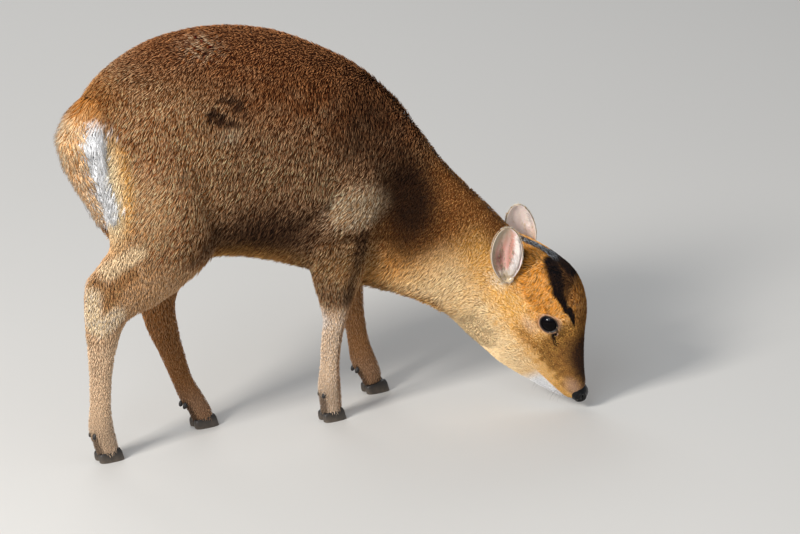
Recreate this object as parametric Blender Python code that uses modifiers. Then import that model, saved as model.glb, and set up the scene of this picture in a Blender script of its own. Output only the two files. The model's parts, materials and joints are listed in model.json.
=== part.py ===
"""A muntjac doe at life size, head down to graze, turned a little to its right.

Metres, +Z up, +X the way the body faces, +Y the animal's left.  The body is modelled whole
from lofted forms, fused, and parted with thin cuts into the parts a person would name.
"""

import math
import random

import bmesh
import bpy
from mathutils import Matrix, Vector

# Driving dimensions
MODEL_SHIFT = Vector((0.0041, 0.0392, 0.0))
JOINT_GAP = 0.0003
BODY_VOXEL = 0.0042
HEAD_VOXEL = 0.0019
BODY_TRIANGLES = 4500
HEAD_TRIANGLES = 2300
BODY_SMOOTHING = 8
HEAD_SMOOTHING = 12

# The head: where its nose is, how far it turns right, dips and leans over
NOSE_POINT = Vector((0.305, -0.144, 0.022))
HEAD_TURN = math.radians(34)
HEAD_PITCH = math.radians(57)
HEAD_ROLL = math.radians(8)

# Eyes: the ball's centre on the head's left, and half the length and height of the opening
EYE_RADIUS = 0.0132
EYE_PLACE = Vector((-0.1035, 0.0268, 0.0285))
EYE_OPENING = (0.0124, 0.0110)
EYE_TILT = math.radians(-14)
LID_THICKNESS = 0.0019
GROOVE_RADIUS = 0.0011

NOSE_PAD_PLACE = Vector((-0.0012, 0.0, -0.0008))
NOSE_PAD_RADII = (0.0128, 0.0142, 0.0118)
NOSTRIL_PLACE = Vector((0.0066, 0.0098, 0.0016))
NOSTRIL_RADII = (0.0030, 0.0030, 0.0017)

EAR_LENGTH = 0.074
EAR_HALF_WIDTH = 0.0186
EAR_WALL = 0.0026
EAR_WIDEST = 0.48
EAR_BOW = 0.006
EAR_TUCK = 0.0065
EAR_ROWS = 9
EAR_COLUMNS = 8

HOOF_TIP_REACH = 0.0035
HOOF_TOP_FRONT = 0.0150
HOOF_TOP_HEEL = 0.0110
TOE_WIDTH = 0.0112
TOE_GAP = 0.0016
DEWCLAW_RADII = (0.0036, 0.0029, 0.0056)
DEWCLAW_INSET = Vector((0.0034, 0.0056, -0.0080))
DEWCLAW_LEAN = math.radians(24)
PASTERN = -4

COLOURS = {
    "coat_back": ((0.30, 0.135, 0.045, 1.0), 0.85),
    "coat_neck": ((0.34, 0.17, 0.06, 1.0), 0.85),
    "coat_head": ((0.50, 0.27, 0.09, 1.0), 0.85),
    "coat_leg": ((0.42, 0.24, 0.11, 1.0), 0.85),
    "coat_tail": ((0.48, 0.22, 0.07, 1.0), 0.85),
    "ear_skin": ((0.62, 0.42, 0.36, 1.0), 0.7),
    "horn_black": ((0.03, 0.026, 0.024, 1.0), 0.45),
    "nose_black": ((0.012, 0.012, 0.014, 1.0), 0.25),
    "eye_black": ((0.006, 0.005, 0.006, 1.0), 0.05),
}

# The kind of surface by the first letters of a part's name
KINDS = (
    ("torso", "coat_back"),
    ("neck", "coat_neck"),
    ("head", "coat_head"),
    ("hoof", "horn_black"),
    ("hind", "coat_leg"),
    ("fore", "coat_leg"),
    ("tail", "coat_tail"),
    ("ear", "ear_skin"),
    ("nose", "nose_black"),
    ("eye", "eye_black"),
)

# Trunk and neck, from rump to poll: (x, y, z) of the top line, of the underline,
# half the width, and the turn of the section to the right in degrees
TRUNK = (
    ((-0.300, 0.0, 0.412), (-0.292, 0.0, 0.345), 0.030, 0),
    ((-0.283, 0.0, 0.449), (-0.276, 0.0, 0.288), 0.056, 0),
    ((-0.252, 0.0, 0.477), (-0.248, 0.0, 0.254), 0.071, 0),
    ((-0.205, 0.0, 0.499), (-0.205, 0.0, 0.238), 0.079, 0),
    ((-0.155, 0.0, 0.508), (-0.155, 0.0, 0.231), 0.081, 0),
    ((-0.110, 0.0, 0.508), (-0.110, 0.0, 0.227), 0.082, 0),
    ((-0.060, 0.0, 0.500), (-0.060, 0.0, 0.214), 0.083, 0),
    ((-0.020, 0.0, 0.487), (-0.020, 0.0, 0.200), 0.080, 0),
    ((0.020, 0.0, 0.468), (0.015, 0.0, 0.186), 0.074, 0),
    ((0.056, 0.0, 0.448), (0.043, 0.0, 0.173), 0.067, 0),
    ((0.092, -0.003, 0.420), (0.068, -0.003, 0.164), 0.062, 8),
    ((0.123, -0.015, 0.385), (0.090, -0.010, 0.158), 0.057, 20),
    ((0.148, -0.033, 0.344), (0.111, -0.022, 0.152), 0.053, 28),
    ((0.171, -0.052, 0.308), (0.133, -0.033, 0.144), 0.051, 32),
    ((0.194, -0.070, 0.281), (0.155, -0.043, 0.133), 0.049, 34),
    ((0.216, -0.087, 0.254), (0.173, -0.051, 0.119), 0.047, 34),
    ((0.235, -0.102, 0.228), (0.190, -0.058, 0.110), 0.043, 34),
    ((0.248, -0.111, 0.205), (0.206, -0.068, 0.112), 0.033, 34),
)

# The head in its own frame, x to the nose and z to the forehead: x, top, bottom,
# half the width, and the height where it is widest
HEAD = (
    (0.0040, 0.0070, -0.0110, 0.0100, -0.002),
    (0.0000, 0.0105, -0.0160, 0.0130, -0.003),
    (-0.010, 0.0160, -0.0245, 0.0155, -0.005),
    (-0.025, 0.0240, -0.0355, 0.0175, -0.008),
    (-0.045, 0.0365, -0.0465, 0.0200, -0.006),
    (-0.065, 0.0500, -0.0560, 0.0248, 0.002),
    (-0.085, 0.0650, -0.0645, 0.0312, 0.012),
    (-0.104, 0.0745, -0.0700, 0.0355, 0.018),
    (-0.125, 0.0795, -0.0755, 0.0385, 0.018),
    (-0.145, 0.0785, -0.0805, 0.0400, 0.012),
    (-0.165, 0.0715, -0.0860, 0.0415, 0.004),
    (-0.185, 0.0620, -0.0900, 0.0425, -0.006),
    (-0.205, 0.0500, -0.0900, 0.0435, -0.014),
    (-0.225, 0.0370, -0.0850, 0.0430, -0.022),
    (-0.240, 0.0240, -0.0750, 0.0380, -0.025),
)
# Swellings of the left side of the head: place and radii of the orbit and of the cheek
ORBIT = ((-0.1030, 0.0215, 0.0275), (0.0230, 0.0180, 0.0200))
CHEEK = ((-0.1560, 0.0000, -0.0200), (0.0640, 0.0412, 0.0480))

# Legs, from the top down: (x, z) of the front edge, (x, z) of the back edge, y, half the width
HIND_RIGHT = (
    ((-0.165, 0.430), (-0.262, 0.430), -0.034, 0.030),
    ((-0.148, 0.365), (-0.288, 0.372), -0.041, 0.043),
    ((-0.142, 0.305), (-0.288, 0.318), -0.046, 0.043),
    ((-0.148, 0.252), (-0.283, 0.280), -0.047, 0.036),
    ((-0.188, 0.212), (-0.284, 0.264), -0.045, 0.028),
    ((-0.226, 0.190), (-0.298, 0.246), -0.043, 0.021),
    ((-0.262, 0.176), (-0.314, 0.226), -0.042, 0.0165),
    ((-0.276, 0.148), (-0.3160, 0.186), -0.041, 0.0150),
    ((-0.2825, 0.113), (-0.3125, 0.132), -0.039, 0.0132),
    ((-0.2840, 0.075), (-0.3120, 0.075), -0.037, 0.0125),
    ((-0.2810, 0.048), (-0.3135, 0.044), -0.035, 0.0138),
    ((-0.2760, 0.026), (-0.3080, 0.023), -0.034, 0.0130),
    ((-0.2725, 0.010), (-0.3030, 0.010), -0.033, 0.0132),
    ((-0.2725, 0.004), (-0.3030, 0.004), -0.033, 0.0110),
)
HIND_LEFT = (
    ((-0.155, 0.430), (-0.260, 0.430), 0.034, 0.030),
    ((-0.118, 0.365), (-0.284, 0.372), 0.041, 0.043),
    ((-0.097, 0.312), (-0.272, 0.320), 0.046, 0.043),
    ((-0.094, 0.268), (-0.246, 0.275), 0.046, 0.035),
    ((-0.114, 0.234), (-0.224, 0.240), 0.043, 0.027),
    ((-0.142, 0.204), (-0.217, 0.210), 0.038, 0.020),
    ((-0.164, 0.166), (-0.2145, 0.176), 0.033, 0.0160),
    ((-0.1625, 0.130), (-0.2035, 0.134), 0.030, 0.0140),
    ((-0.1555, 0.100), (-0.1890, 0.100), 0.028, 0.0127),
    ((-0.1465, 0.068), (-0.1755, 0.066), 0.026, 0.0122),
    ((-0.1335, 0.044), (-0.1655, 0.040), 0.024, 0.0136),
    ((-0.1235, 0.025), (-0.1545, 0.022), 0.023, 0.0128),
    ((-0.1185, 0.010), (-0.1490, 0.010), 0.023, 0.0132),
    ((-0.1185, 0.004), (-0.1490, 0.004), 0.023, 0.0110),
)
FORE_RIGHT = (
    ((0.068, 0.380), (-0.030, 0.385), -0.030, 0.020),
    ((0.086, 0.330), (-0.046, 0.345), -0.040, 0.033),
    ((0.087, 0.275), (-0.050, 0.290), -0.043, 0.036),
    ((0.072, 0.226), (-0.040, 0.246), -0.044, 0.030),
    ((0.057, 0.190), (-0.022, 0.215), -0.043, 0.022),
    ((0.043, 0.158), (-0.009, 0.174), -0.041, 0.0165),
    ((0.0325, 0.130), (0.0020, 0.137), -0.039, 0.0142),
    ((0.0275, 0.104), (0.0000, 0.104), -0.037, 0.0120),
    ((0.0260, 0.075), (-0.0010, 0.075), -0.035, 0.0115),
    ((0.0280, 0.047), (-0.0035, 0.044), -0.033, 0.0130),
    ((0.0300, 0.026), (-0.0005, 0.022), -0.032, 0.0124),
    ((0.0300, 0.010), (0.0005, 0.010), -0.032, 0.0130),
    ((0.0300, 0.004), (0.0005, 0.004), -0.032, 0.0108),
)
FORE_LEFT = (
    ((0.083, 0.380), (-0.020, 0.385), 0.030, 0.020),
    ((0.102, 0.330), (-0.032, 0.345), 0.040, 0.033),
    ((0.108, 0.275), (-0.028, 0.290), 0.043, 0.036),
    ((0.106, 0.228), (-0.006, 0.246), 0.044, 0.030),
    ((0.105, 0.190), (0.025, 0.210), 0.043, 0.022),
    ((0.1000, 0.158), (0.0480, 0.170), 0.042, 0.0165),
    ((0.0990, 0.130), (0.0650, 0.134), 0.041, 0.0142),
    ((0.1015, 0.102), (0.0720, 0.100), 0.040, 0.0120),
    ((0.1065, 0.073), (0.0770, 0.069), 0.039, 0.0115),
    ((0.1150, 0.049), (0.0810, 0.042), 0.038, 0.0130),
    ((0.1245, 0.026), (0.0925, 0.021), 0.037, 0.0124),
    ((0.1285, 0.010), (0.0980, 0.010), 0.037, 0.0130),
    ((0.1285, 0.004), (0.0980, 0.004), 0.037, 0.0108),
)
LEGS = {
    "hind_right": HIND_RIGHT,
    "hind_left": HIND_LEFT,
    "fore_right": FORE_RIGHT,
    "fore_left": FORE_LEFT,
}

# What each leg takes from the trunk: back, front and top of its round-topped block,
# and the height where the shank begins
LEG_BLOCKS = {
    "hind_right": (-0.350, -0.146, 0.392, 0.160),
    "hind_left": (-0.350, -0.092, 0.392, 0.146),
    "fore_right": (-0.060, 0.084, 0.300, 0.122),
    "fore_left": (-0.050, 0.110, 0.300, 0.122),
}
BLOCK_INNER = 0.009
BLOCK_OUTER = 0.130

# Planes that part the head from the neck, in the head's frame, and the neck from the trunk
POLL_PLANE = (Vector((-0.200, 0.0, 0.045)), Vector((0.955, 0.0, 0.297)))
NECK_PLANE = (Vector((0.118, -0.010, 0.270)), Vector((0.97, -0.20, -0.12)))

# The mouth from its left corner to the middle of the lips, in the head's frame
MOUTH = (
    (-0.047, 0.020, -0.0225),
    (-0.036, 0.018, -0.0205),
    (-0.022, 0.016, -0.0175),
    (-0.009, 0.013, -0.0150),
    (0.001, 0.008, -0.0130),
    (0.004, 0.000, -0.0125),
)
SLIT_RADII = (0.0008, 0.0012, 0.0007)
TEAR_SLIT = ((-0.0855, 0.035, 0.0235), (-0.079, 0.034, 0.0225), (-0.071, 0.031, 0.0225))

# Ears: the root in the head's frame, and the world directions of the length and the opening
EARS = {
    "right": (Vector((-0.182, -0.052, 0.021)), Vector((-0.075, -0.085, 1.0)),
              Vector((-0.35, -0.90, 0.10))),
    "left": (Vector((-0.176, 0.036, 0.026)), Vector((-0.22, 0.04, 1.0)),
             Vector((-0.25, -0.95, 0.12))),
}

# The tail, root to tip: x, z, half thickness, half width
TAIL = (
    (-0.286, 0.441, 0.0120, 0.014),
    (-0.304, 0.418, 0.0140, 0.022),
    (-0.3125, 0.390, 0.0155, 0.030),
    (-0.3030, 0.354, 0.0145, 0.031),
    (-0.2900, 0.324, 0.0120, 0.026),
    (-0.2790, 0.303, 0.0095, 0.019),
    (-0.2715, 0.284, 0.0055, 0.009),
)
TAIL_SWING = -0.004

# Locks of the tail: the core's share of the haired size, places down the tail, places
# round it in degrees from its back to its left, how far one lock reaches down the tail,
# its size, and how the hair of the right side lies out and forward over the buttock
TAIL_CORE = 0.50
LOCK_TIERS = 7
LOCK_TURNS = (-104, -66, -26, 16, 62, 104)
LOCK_DROP = 0.27
LOCK_HALF_WIDTH = 0.0088
LOCK_HALF_THICKNESS = 0.0015
LOCK_SEED = 4
RIGHT_SPREAD = 0.55
RIGHT_FORWARD = 0.014


# Small tools
def clear_scene():
    for item in list(bpy.data.objects):
        bpy.data.objects.remove(item, do_unlink=True)


def new_collection(name):
    collection = bpy.data.collections.get(name)
    if collection is None:
        collection = bpy.data.collections.new(name)
        bpy.context.scene.collection.children.link(collection)
    return collection


def principled(name, colour, roughness):
    material = bpy.data.materials.new(name)
    material.use_nodes = True
    shader = material.node_tree.nodes["Principled BSDF"]
    shader.inputs["Base Color"].default_value = colour
    shader.inputs["Roughness"].default_value = roughness
    shader.inputs["Metallic"].default_value = 0.0
    material.diffuse_color = colour
    return material


def object_from_bmesh(name, shape, collection):
    mesh = bpy.data.meshes.new(name)
    shape.to_mesh(mesh)
    shape.free()
    item = bpy.data.objects.new(name, mesh)
    collection.objects.link(item)
    return item


def drop(item):
    bpy.data.objects.remove(item, do_unlink=True)


def apply_modifiers(item):
    """Replace the object's mesh by what its modifiers make of it."""
    bpy.context.view_layer.update()
    graph = bpy.context.evaluated_depsgraph_get()
    mesh = bpy.data.meshes.new_from_object(item.evaluated_get(graph))
    item.modifiers.clear()
    item.data = mesh


def triangle_count(item):
    return sum(len(face.vertices) - 2 for face in item.data.polygons)


def decimate(item, triangles):
    modifier = item.modifiers.new("Fewer faces", "DECIMATE")
    modifier.ratio = min(1.0, triangles / triangle_count(item))
    apply_modifiers(item)


def boolean(item, other, operation, solver="EXACT"):
    modifier = item.modifiers.new(operation.title(), "BOOLEAN")
    modifier.operation = operation
    modifier.solver = solver
    modifier.object = other
    apply_modifiers(item)


def join_pieces(item, pieces, collection_name):
    """Fuse closed pieces with the object by one union on a collection, then remove them."""
    group = new_collection(collection_name)
    for piece in pieces:
        for owner in list(piece.users_collection):
            owner.objects.unlink(piece)
        group.objects.link(piece)
    modifier = item.modifiers.new("Union", "BOOLEAN")
    modifier.operation = "UNION"
    modifier.operand_type = "COLLECTION"
    modifier.collection = group
    modifier.solver = "MANIFOLD"
    apply_modifiers(item)
    for piece in list(group.objects):
        drop(piece)
    bpy.data.collections.remove(group)


def keep_largest(item):
    """Keep only the largest closed surface of the object."""
    shape = bmesh.new()
    shape.from_mesh(item.data)
    waiting = set(shape.faces)
    islands = []
    while waiting:
        front = [waiting.pop()]
        island = list(front)
        while front:
            face = front.pop()
            for edge in face.edges:
                for other in edge.link_faces:
                    if other in waiting:
                        waiting.remove(other)
                        front.append(other)
                        island.append(other)
        islands.append(island)
    islands.sort(key=lambda island: sum(face.calc_area() for face in island))
    scraps = [face for island in islands[:-1] for face in island]
    if scraps:
        bmesh.ops.delete(shape, geom=scraps, context="FACES")
    shape.to_mesh(item.data)
    shape.free()


def grown_copy(item, distance, collection):
    """A copy whose surface is moved out along its normals."""
    shape = bmesh.new()
    shape.from_mesh(item.data)
    shape.normal_update()
    offsets = [vertex.normal * distance for vertex in shape.verts]
    for vertex, offset in zip(shape.verts, offsets):
        vertex.co += offset
    return object_from_bmesh(item.name + "_grown", shape, collection)


def copy_of(item, name, collection):
    twin = bpy.data.objects.new(name, item.data.copy())
    collection.objects.link(twin)
    return twin


def slice_off(item, point, normal):
    """Cut the object at a plane, keep the side that the normal points away from, and cap it."""
    shape = bmesh.new()
    shape.from_mesh(item.data)
    geometry = list(shape.verts) + list(shape.edges) + list(shape.faces)
    result = bmesh.ops.bisect_plane(
        shape, geom=geometry, plane_co=point, plane_no=normal, clear_outer=True, dist=1e-7)
    rim_points = [part for part in result["geom_cut"] if isinstance(part, bmesh.types.BMVert)]
    bmesh.ops.remove_doubles(shape, verts=rim_points, dist=1e-6)
    rim = [edge for edge in shape.edges if edge.is_boundary]
    bmesh.ops.contextual_create(shape, geom=rim)
    bmesh.ops.triangulate(shape, faces=[face for face in shape.faces if len(face.verts) > 4])
    bmesh.ops.recalc_face_normals(shape, faces=shape.faces)
    shape.to_mesh(item.data)
    shape.free()


def smooth_rows(rows, steps):
    """Rows of numbers with a Catmull-Rom curve run through them."""
    result = []
    last = len(rows) - 1
    for index in range(last):
        before = rows[max(index - 1, 0)]
        start = rows[index]
        end = rows[index + 1]
        after = rows[min(index + 2, last)]
        for step in range(steps):
            t = step / steps
            result.append(tuple(
                0.5 * (2 * b + (c - a) * t + (2 * a - 5 * b + 4 * c - d) * t * t
                       + (3 * b - a - 3 * c + d) * t ** 3)
                for a, b, c, d in zip(before, start, end, after)))
    result.append(tuple(rows[last]))
    return result


def rounded(value, fullness):
    return math.copysign(abs(value) ** (2 / fullness), value)


def section(high, low, widest, across, half_width, sides, fullness, slim):
    """Points of one closed section: high and low ends, a side vector, and a soft square round."""
    points = []
    for index in range(sides):
        angle = 2 * math.pi * index / sides
        lift = rounded(math.cos(angle), fullness)
        side = rounded(math.sin(angle), fullness) * (1 - slim * math.cos(angle))
        reach = (high - widest) if lift > 0 else (widest - low)
        points.append(widest + reach * lift + across * (half_width * side))
    return points


def skin_sections(name, sections, collection):
    """A closed mesh through a row of sections."""
    shape = bmesh.new()
    rings = [[shape.verts.new(point) for point in ring] for ring in sections]
    sides = len(rings[0])
    for first, second in zip(rings, rings[1:]):
        for index in range(sides):
            follow = (index + 1) % sides
            shape.faces.new((first[index], first[follow], second[follow], second[index]))
    shape.faces.new(list(reversed(rings[0])))
    shape.faces.new(rings[-1])
    bmesh.ops.recalc_face_normals(shape, faces=shape.faces)
    return object_from_bmesh(name, shape, collection)


def fuse(name, pieces, voxel, smoothing, collection):
    """One soft closed skin over overlapping pieces."""
    shape = bmesh.new()
    for piece in pieces:
        shape.from_mesh(piece.data)
    item = object_from_bmesh(name, shape, collection)
    remesh = item.modifiers.new("Fuse", "REMESH")
    remesh.mode = "VOXEL"
    remesh.voxel_size = voxel
    soften = item.modifiers.new("Soften", "SMOOTH")
    soften.factor = 0.5
    soften.iterations = smoothing
    apply_modifiers(item)
    return item


# The head's own frame
def head_matrix():
    heading = Vector((math.cos(HEAD_TURN), -math.sin(HEAD_TURN), 0.0))
    left = Vector((math.sin(HEAD_TURN), math.cos(HEAD_TURN), 0.0))
    up = Vector((0.0, 0.0, 1.0))
    muzzle = heading * math.cos(HEAD_PITCH) - up * math.sin(HEAD_PITCH)
    crown = heading * math.sin(HEAD_PITCH) + up * math.cos(HEAD_PITCH)
    side = left * math.cos(HEAD_ROLL) + crown * math.sin(HEAD_ROLL)
    crown = crown * math.cos(HEAD_ROLL) - left * math.sin(HEAD_ROLL)
    matrix = Matrix((muzzle, side, crown)).transposed().to_4x4()
    matrix.translation = NOSE_POINT
    return matrix


def place_in_head(item):
    item.data.transform(head_matrix())


# Main forms
def trunk_form(collection):
    rows = smooth_rows([(*high, *low, width, turn) for high, low, width, turn in TRUNK], 4)
    sections = []
    for row in rows:
        high = Vector(row[0:3])
        low = Vector(row[3:6])
        turn = math.radians(row[7])
        across = Vector((math.sin(turn), math.cos(turn), 0.0))
        widest = low.lerp(high, 0.46)
        sections.append(section(high, low, widest, across, row[6], 28, 2.25, 0.10))
    return skin_sections("trunk_form", sections, collection)


def head_form(collection):
    sections = []
    for x, high, low, width, widest in smooth_rows(HEAD, 4):
        sections.append(section(
            Vector((x, 0, high)), Vector((x, 0, low)), Vector((x, 0, widest)),
            Vector((0, 1, 0)), width, 28, 2.25, -0.05))
    return skin_sections("head_form", sections, collection)


def head_swellings(collection):
    """Orbits and cheeks of both sides, which the skin is drawn over."""
    return [ball("swelling", (x, side * y, z), radii, collection)
            for (x, y, z), radii in (ORBIT, CHEEK) for side in (1, -1)]


def leg_form(name, stations, collection):
    rows = smooth_rows([(*front, *back, y, width) for front, back, y, width in stations], 4)
    sections = []
    for front_x, front_z, back_x, back_z, y, width in rows:
        front = Vector((front_x, y, front_z))
        back = Vector((back_x, y, back_z))
        sections.append(section(
            front, back, back.lerp(front, 0.5), Vector((0, 1, 0)), width, 20, 2.1, 0.08))
    return skin_sections(name, sections, collection)


def ball(name, centre, radii, collection, segments=24, rings=14):
    shape = bmesh.new()
    bmesh.ops.create_uvsphere(shape, u_segments=segments, v_segments=rings, radius=1.0)
    for vertex in shape.verts:
        vertex.co = Vector((vertex.co.x * radii[0], vertex.co.y * radii[1],
                            vertex.co.z * radii[2])) + Vector(centre)
    return object_from_bmesh(name, shape, collection)


def tube(name, points, radii, collection, sides=8):
    """A closed tapering tube along points, round in section."""
    sections = []
    for index, point in enumerate(points):
        before = points[max(index - 1, 0)]
        after = points[min(index + 1, len(points) - 1)]
        along = (after - before).normalized()
        side = along.cross(Vector((0, 0, 1)))
        if side.length < 1e-4:
            side = Vector((1, 0, 0))
        side.normalize()
        up = side.cross(along)
        sections.append([
            point + (side * math.cos(turn) + up * math.sin(turn)) * radii[index]
            for turn in (2 * math.pi * k / sides for k in range(sides))])
    return skin_sections(name, sections, collection)


def mirrored(point):
    return Vector((point[0], -point[1], point[2]))


# Parting the body
def round_topped_block(name, grow, collection):
    """An upright block with a half-round top, which takes one leg from the body."""
    back, front, top, _ = LEG_BLOCKS[name]
    side = -1 if name.endswith("right") else 1
    middle = (back + front) / 2
    radius = (front - back) / 2 + grow
    arch = top - (front - back) / 2
    outline = [(middle + radius, -0.03)]
    arc_steps = 18
    for step in range(arc_steps + 1):
        angle = math.pi * step / arc_steps
        outline.append((middle + radius * math.cos(angle), arch + radius * math.sin(angle)))
    outline.append((middle - radius, -0.03))
    inner = side * (BLOCK_INNER - grow)
    outer = side * (BLOCK_OUTER + grow)
    sections = [[Vector((x, y, z)) for x, z in outline] for y in (inner, outer)]
    return skin_sections(name + "_block", sections, collection)


def coronet_plane(stations):
    """A point and normal of the slanting plane where the leg meets its hooves."""
    (front_x, _), (back_x, _), y, _ = stations[-1]
    slope = Vector((front_x - back_x, 0, HOOF_TOP_FRONT - HOOF_TOP_HEEL))
    normal = Vector((-slope.z, 0, slope.x)).normalized()
    return Vector((back_x, y, HOOF_TOP_HEEL)), normal


def part_leg(name, body, parts, cutters):
    """Take one leg out of the body as an upper length and a shank, and give back the shank."""
    grown = round_topped_block(name, JOINT_GAP, cutters)
    block = round_topped_block(name, 0.0, cutters)
    upper = copy_of(body, name + "_upper", parts)
    boolean(upper, block, "INTERSECT")
    keep_largest(upper)
    boolean(body, grown, "DIFFERENCE")
    keep_largest(body)
    shank_top = LEG_BLOCKS[name][3]
    lower = copy_of(upper, name + "_lower", parts)
    up = Vector((0, 0, 1))
    slice_off(upper, Vector((0, 0, shank_top + JOINT_GAP)), -up)
    slice_off(lower, Vector((0, 0, shank_top)), up)
    point, normal = coronet_plane(LEGS[name])
    slice_off(lower, point + normal * JOINT_GAP, -normal)
    for item in (upper, lower):
        keep_largest(item)
    drop(grown)
    drop(block)
    return lower


# Hooves and dewclaws
def toe_sections(stations, side):
    """Level slices of one toe, side 1 the left and -1 the right one."""
    (front_x, _), (back_x, _), foot_y, _ = stations[-1]
    inner = TOE_GAP / 2
    sections = []
    # height share, reach of the tip, draw-in of the heel, share of the toe's width
    slices = ((0.0, HOOF_TIP_REACH, 0.0015, 1.0), (0.35, HOOF_TIP_REACH * 0.62, 0.0006, 1.0),
              (0.75, HOOF_TIP_REACH * 0.1, 0.0002, 0.95), (1.0, -0.0015, 0.0006, 0.88))
    for share, reach, heel, width_share in slices:
        width = TOE_WIDTH * width_share
        y = foot_y + side * (inner + width / 2)
        high = Vector((front_x + reach, y - side * 0.0012, HOOF_TOP_FRONT * share))
        low = Vector((back_x + heel, y, HOOF_TOP_HEEL * share))
        sections.append(section(
            high, low, low.lerp(high, 0.42), Vector((0, 1, 0)), width / 2, 14, 2.5, 0.12))
    return sections


def add_dewclaw(shank, stations, side, cutters):
    """Fuse a small blunt nail to the back of the pastern, its root sunk in."""
    back_x, back_z = stations[PASTERN][1]
    centre = Vector((back_x + DEWCLAW_INSET.x, stations[PASTERN][2] + side * DEWCLAW_INSET.y,
                     back_z + DEWCLAW_INSET.z))
    claw = ball("dewclaw", (0, 0, 0), DEWCLAW_RADII, cutters, 8, 5)
    claw.data.transform(Matrix.Translation(centre) @ Matrix.Rotation(DEWCLAW_LEAN, 4, "Y"))
    boolean(shank, claw, "UNION")
    drop(claw)


# The tail
def tail_core(collection):
    """The tail's flesh, full at its root and thinner under its long hair."""
    sections = []
    for index, (x, z, thickness, width) in enumerate(TAIL):
        share = TAIL_CORE + (1 - TAIL_CORE) * max(0.0, 1 - index / 1.5)
        back = Vector((x - thickness * share, TAIL_SWING, z))
        front = Vector((x + thickness * share, TAIL_SWING, z))
        sections.append(section(
            front, back, back.lerp(front, 0.5), Vector((0, 1, 0)), width * share, 10, 2.2, 0.0))
    return skin_sections("tail", sections, collection)


def tail_place(down, turn, share):
    """A point down the tail and round it, at a share of the way out to the tips of its hair."""
    place = min(max(down, 0.0), 1.0) * (len(TAIL) - 1)
    index = min(int(place), len(TAIL) - 2)
    x, z, thickness, width = (
        a + (b - a) * (place - index) for a, b in zip(TAIL[index], TAIL[index + 1]))
    right = max(0.0, -math.sin(turn)) * share
    return Vector((x - thickness * share * math.cos(turn) + RIGHT_FORWARD * right,
                   TAIL_SWING + width * share * math.sin(turn) * (1 + RIGHT_SPREAD * right), z))


def tail_lock(down, turn, size, lean, collection):
    """A flat tapering lock from inside the core to the outline, bent to lie down the tail."""
    root = tail_place(down, turn, 0.22)
    knee = tail_place(down + LOCK_DROP * 0.42 * size, turn + lean * 0.5, 0.86)
    tip = tail_place(down + LOCK_DROP * size, turn + lean, 1.02)
    tip -= Vector((0, 0, max(0.0, down + LOCK_DROP * size - 1.0) * 0.06))
    outward = (tail_place(down + 0.05, turn, 1.0) - tail_place(down + 0.05, turn, 0.0)).normalized()
    sections = []
    # share of the way to the tip, width share, thickness share
    for way, width_share, thickness_share in (
            (0.0, 0.42, 1.25), (0.36, 1.0, 1.2), (0.72, 0.76, 0.85), (1.0, 0.14, 0.30)):
        middle = root.lerp(knee, way).lerp(knee.lerp(tip, way), way)
        along = (root.lerp(knee, way) - knee.lerp(tip, way)).normalized()
        flat = along.cross(outward).normalized()
        face = flat.cross(along).normalized()
        flat *= LOCK_HALF_WIDTH * width_share * size
        face *= LOCK_HALF_THICKNESS * thickness_share
        sections.append([middle + flat, middle + face, middle - flat, middle - face])
    return skin_sections("tail_lock", sections, collection)


def tail_with_locks(collection, cutters):
    """The core with tiers of overlapping locks fused to it."""
    draw = random.Random(LOCK_SEED)
    core = tail_core(collection)
    locks = []
    for tier in range(LOCK_TIERS):
        for place, degrees in enumerate(LOCK_TURNS):
            lone = tier == 0 and place == 0
            hidden = place > 3 and (tier + place) % 2 == 0
            if lone or hidden:
                continue
            down = 0.03 + 0.83 * (tier + 0.5 * (place % 2)) / LOCK_TIERS + draw.uniform(-0.012, 0.012)
            turn = math.radians(degrees + draw.uniform(-6, 6))
            lean = math.radians(draw.uniform(-7, 7))
            locks.append(tail_lock(down, turn, draw.uniform(0.88, 1.12), lean, cutters))
    join_pieces(core, locks, "tail_locks")
    return core


# The head's details
def eye_ball(name, side, radius, collection, segments, rings):
    centre = EYE_PLACE.copy()
    centre.y *= side
    item = ball(name, (0, 0, 0), (radius,) * 3, collection, segments, rings)
    quarter = Matrix.Rotation(math.radians(90), 4, "X")
    item.data.transform(Matrix.Translation(centre) @ quarter)
    return item


def eye_opening(side, collection):
    """A flaring almond-shaped plug that opens the lids."""
    sections = []
    for depth, flare in ((0.3, 0.86), (0.7, 0.93), (1.25, 1.12), (1.8, 1.35)):
        ring = []
        for index in range(20):
            angle = 2 * math.pi * index / 20
            long_way = math.cos(angle) * EYE_OPENING[0] * flare
            short_way = math.sin(angle) * EYE_OPENING[1] * flare
            x = long_way * math.cos(EYE_TILT) - short_way * math.sin(EYE_TILT)
            z = long_way * math.sin(EYE_TILT) + short_way * math.cos(EYE_TILT)
            ring.append(Vector((EYE_PLACE.x + x, side * (EYE_PLACE.y + depth * EYE_RADIUS),
                                EYE_PLACE.z + z)))
        sections.append(ring)
    return skin_sections("eye_opening", sections, collection)


def groove(name, points, head, radii, collection):
    """A round-bottomed groove cutter along the nearest points of the head's surface."""
    route = []
    for point in points:
        _, nearest, _, _ = head.closest_point_on_mesh(Vector(point))
        route.append(nearest)
    return tube(name, route, radii, collection, 6)


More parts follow.
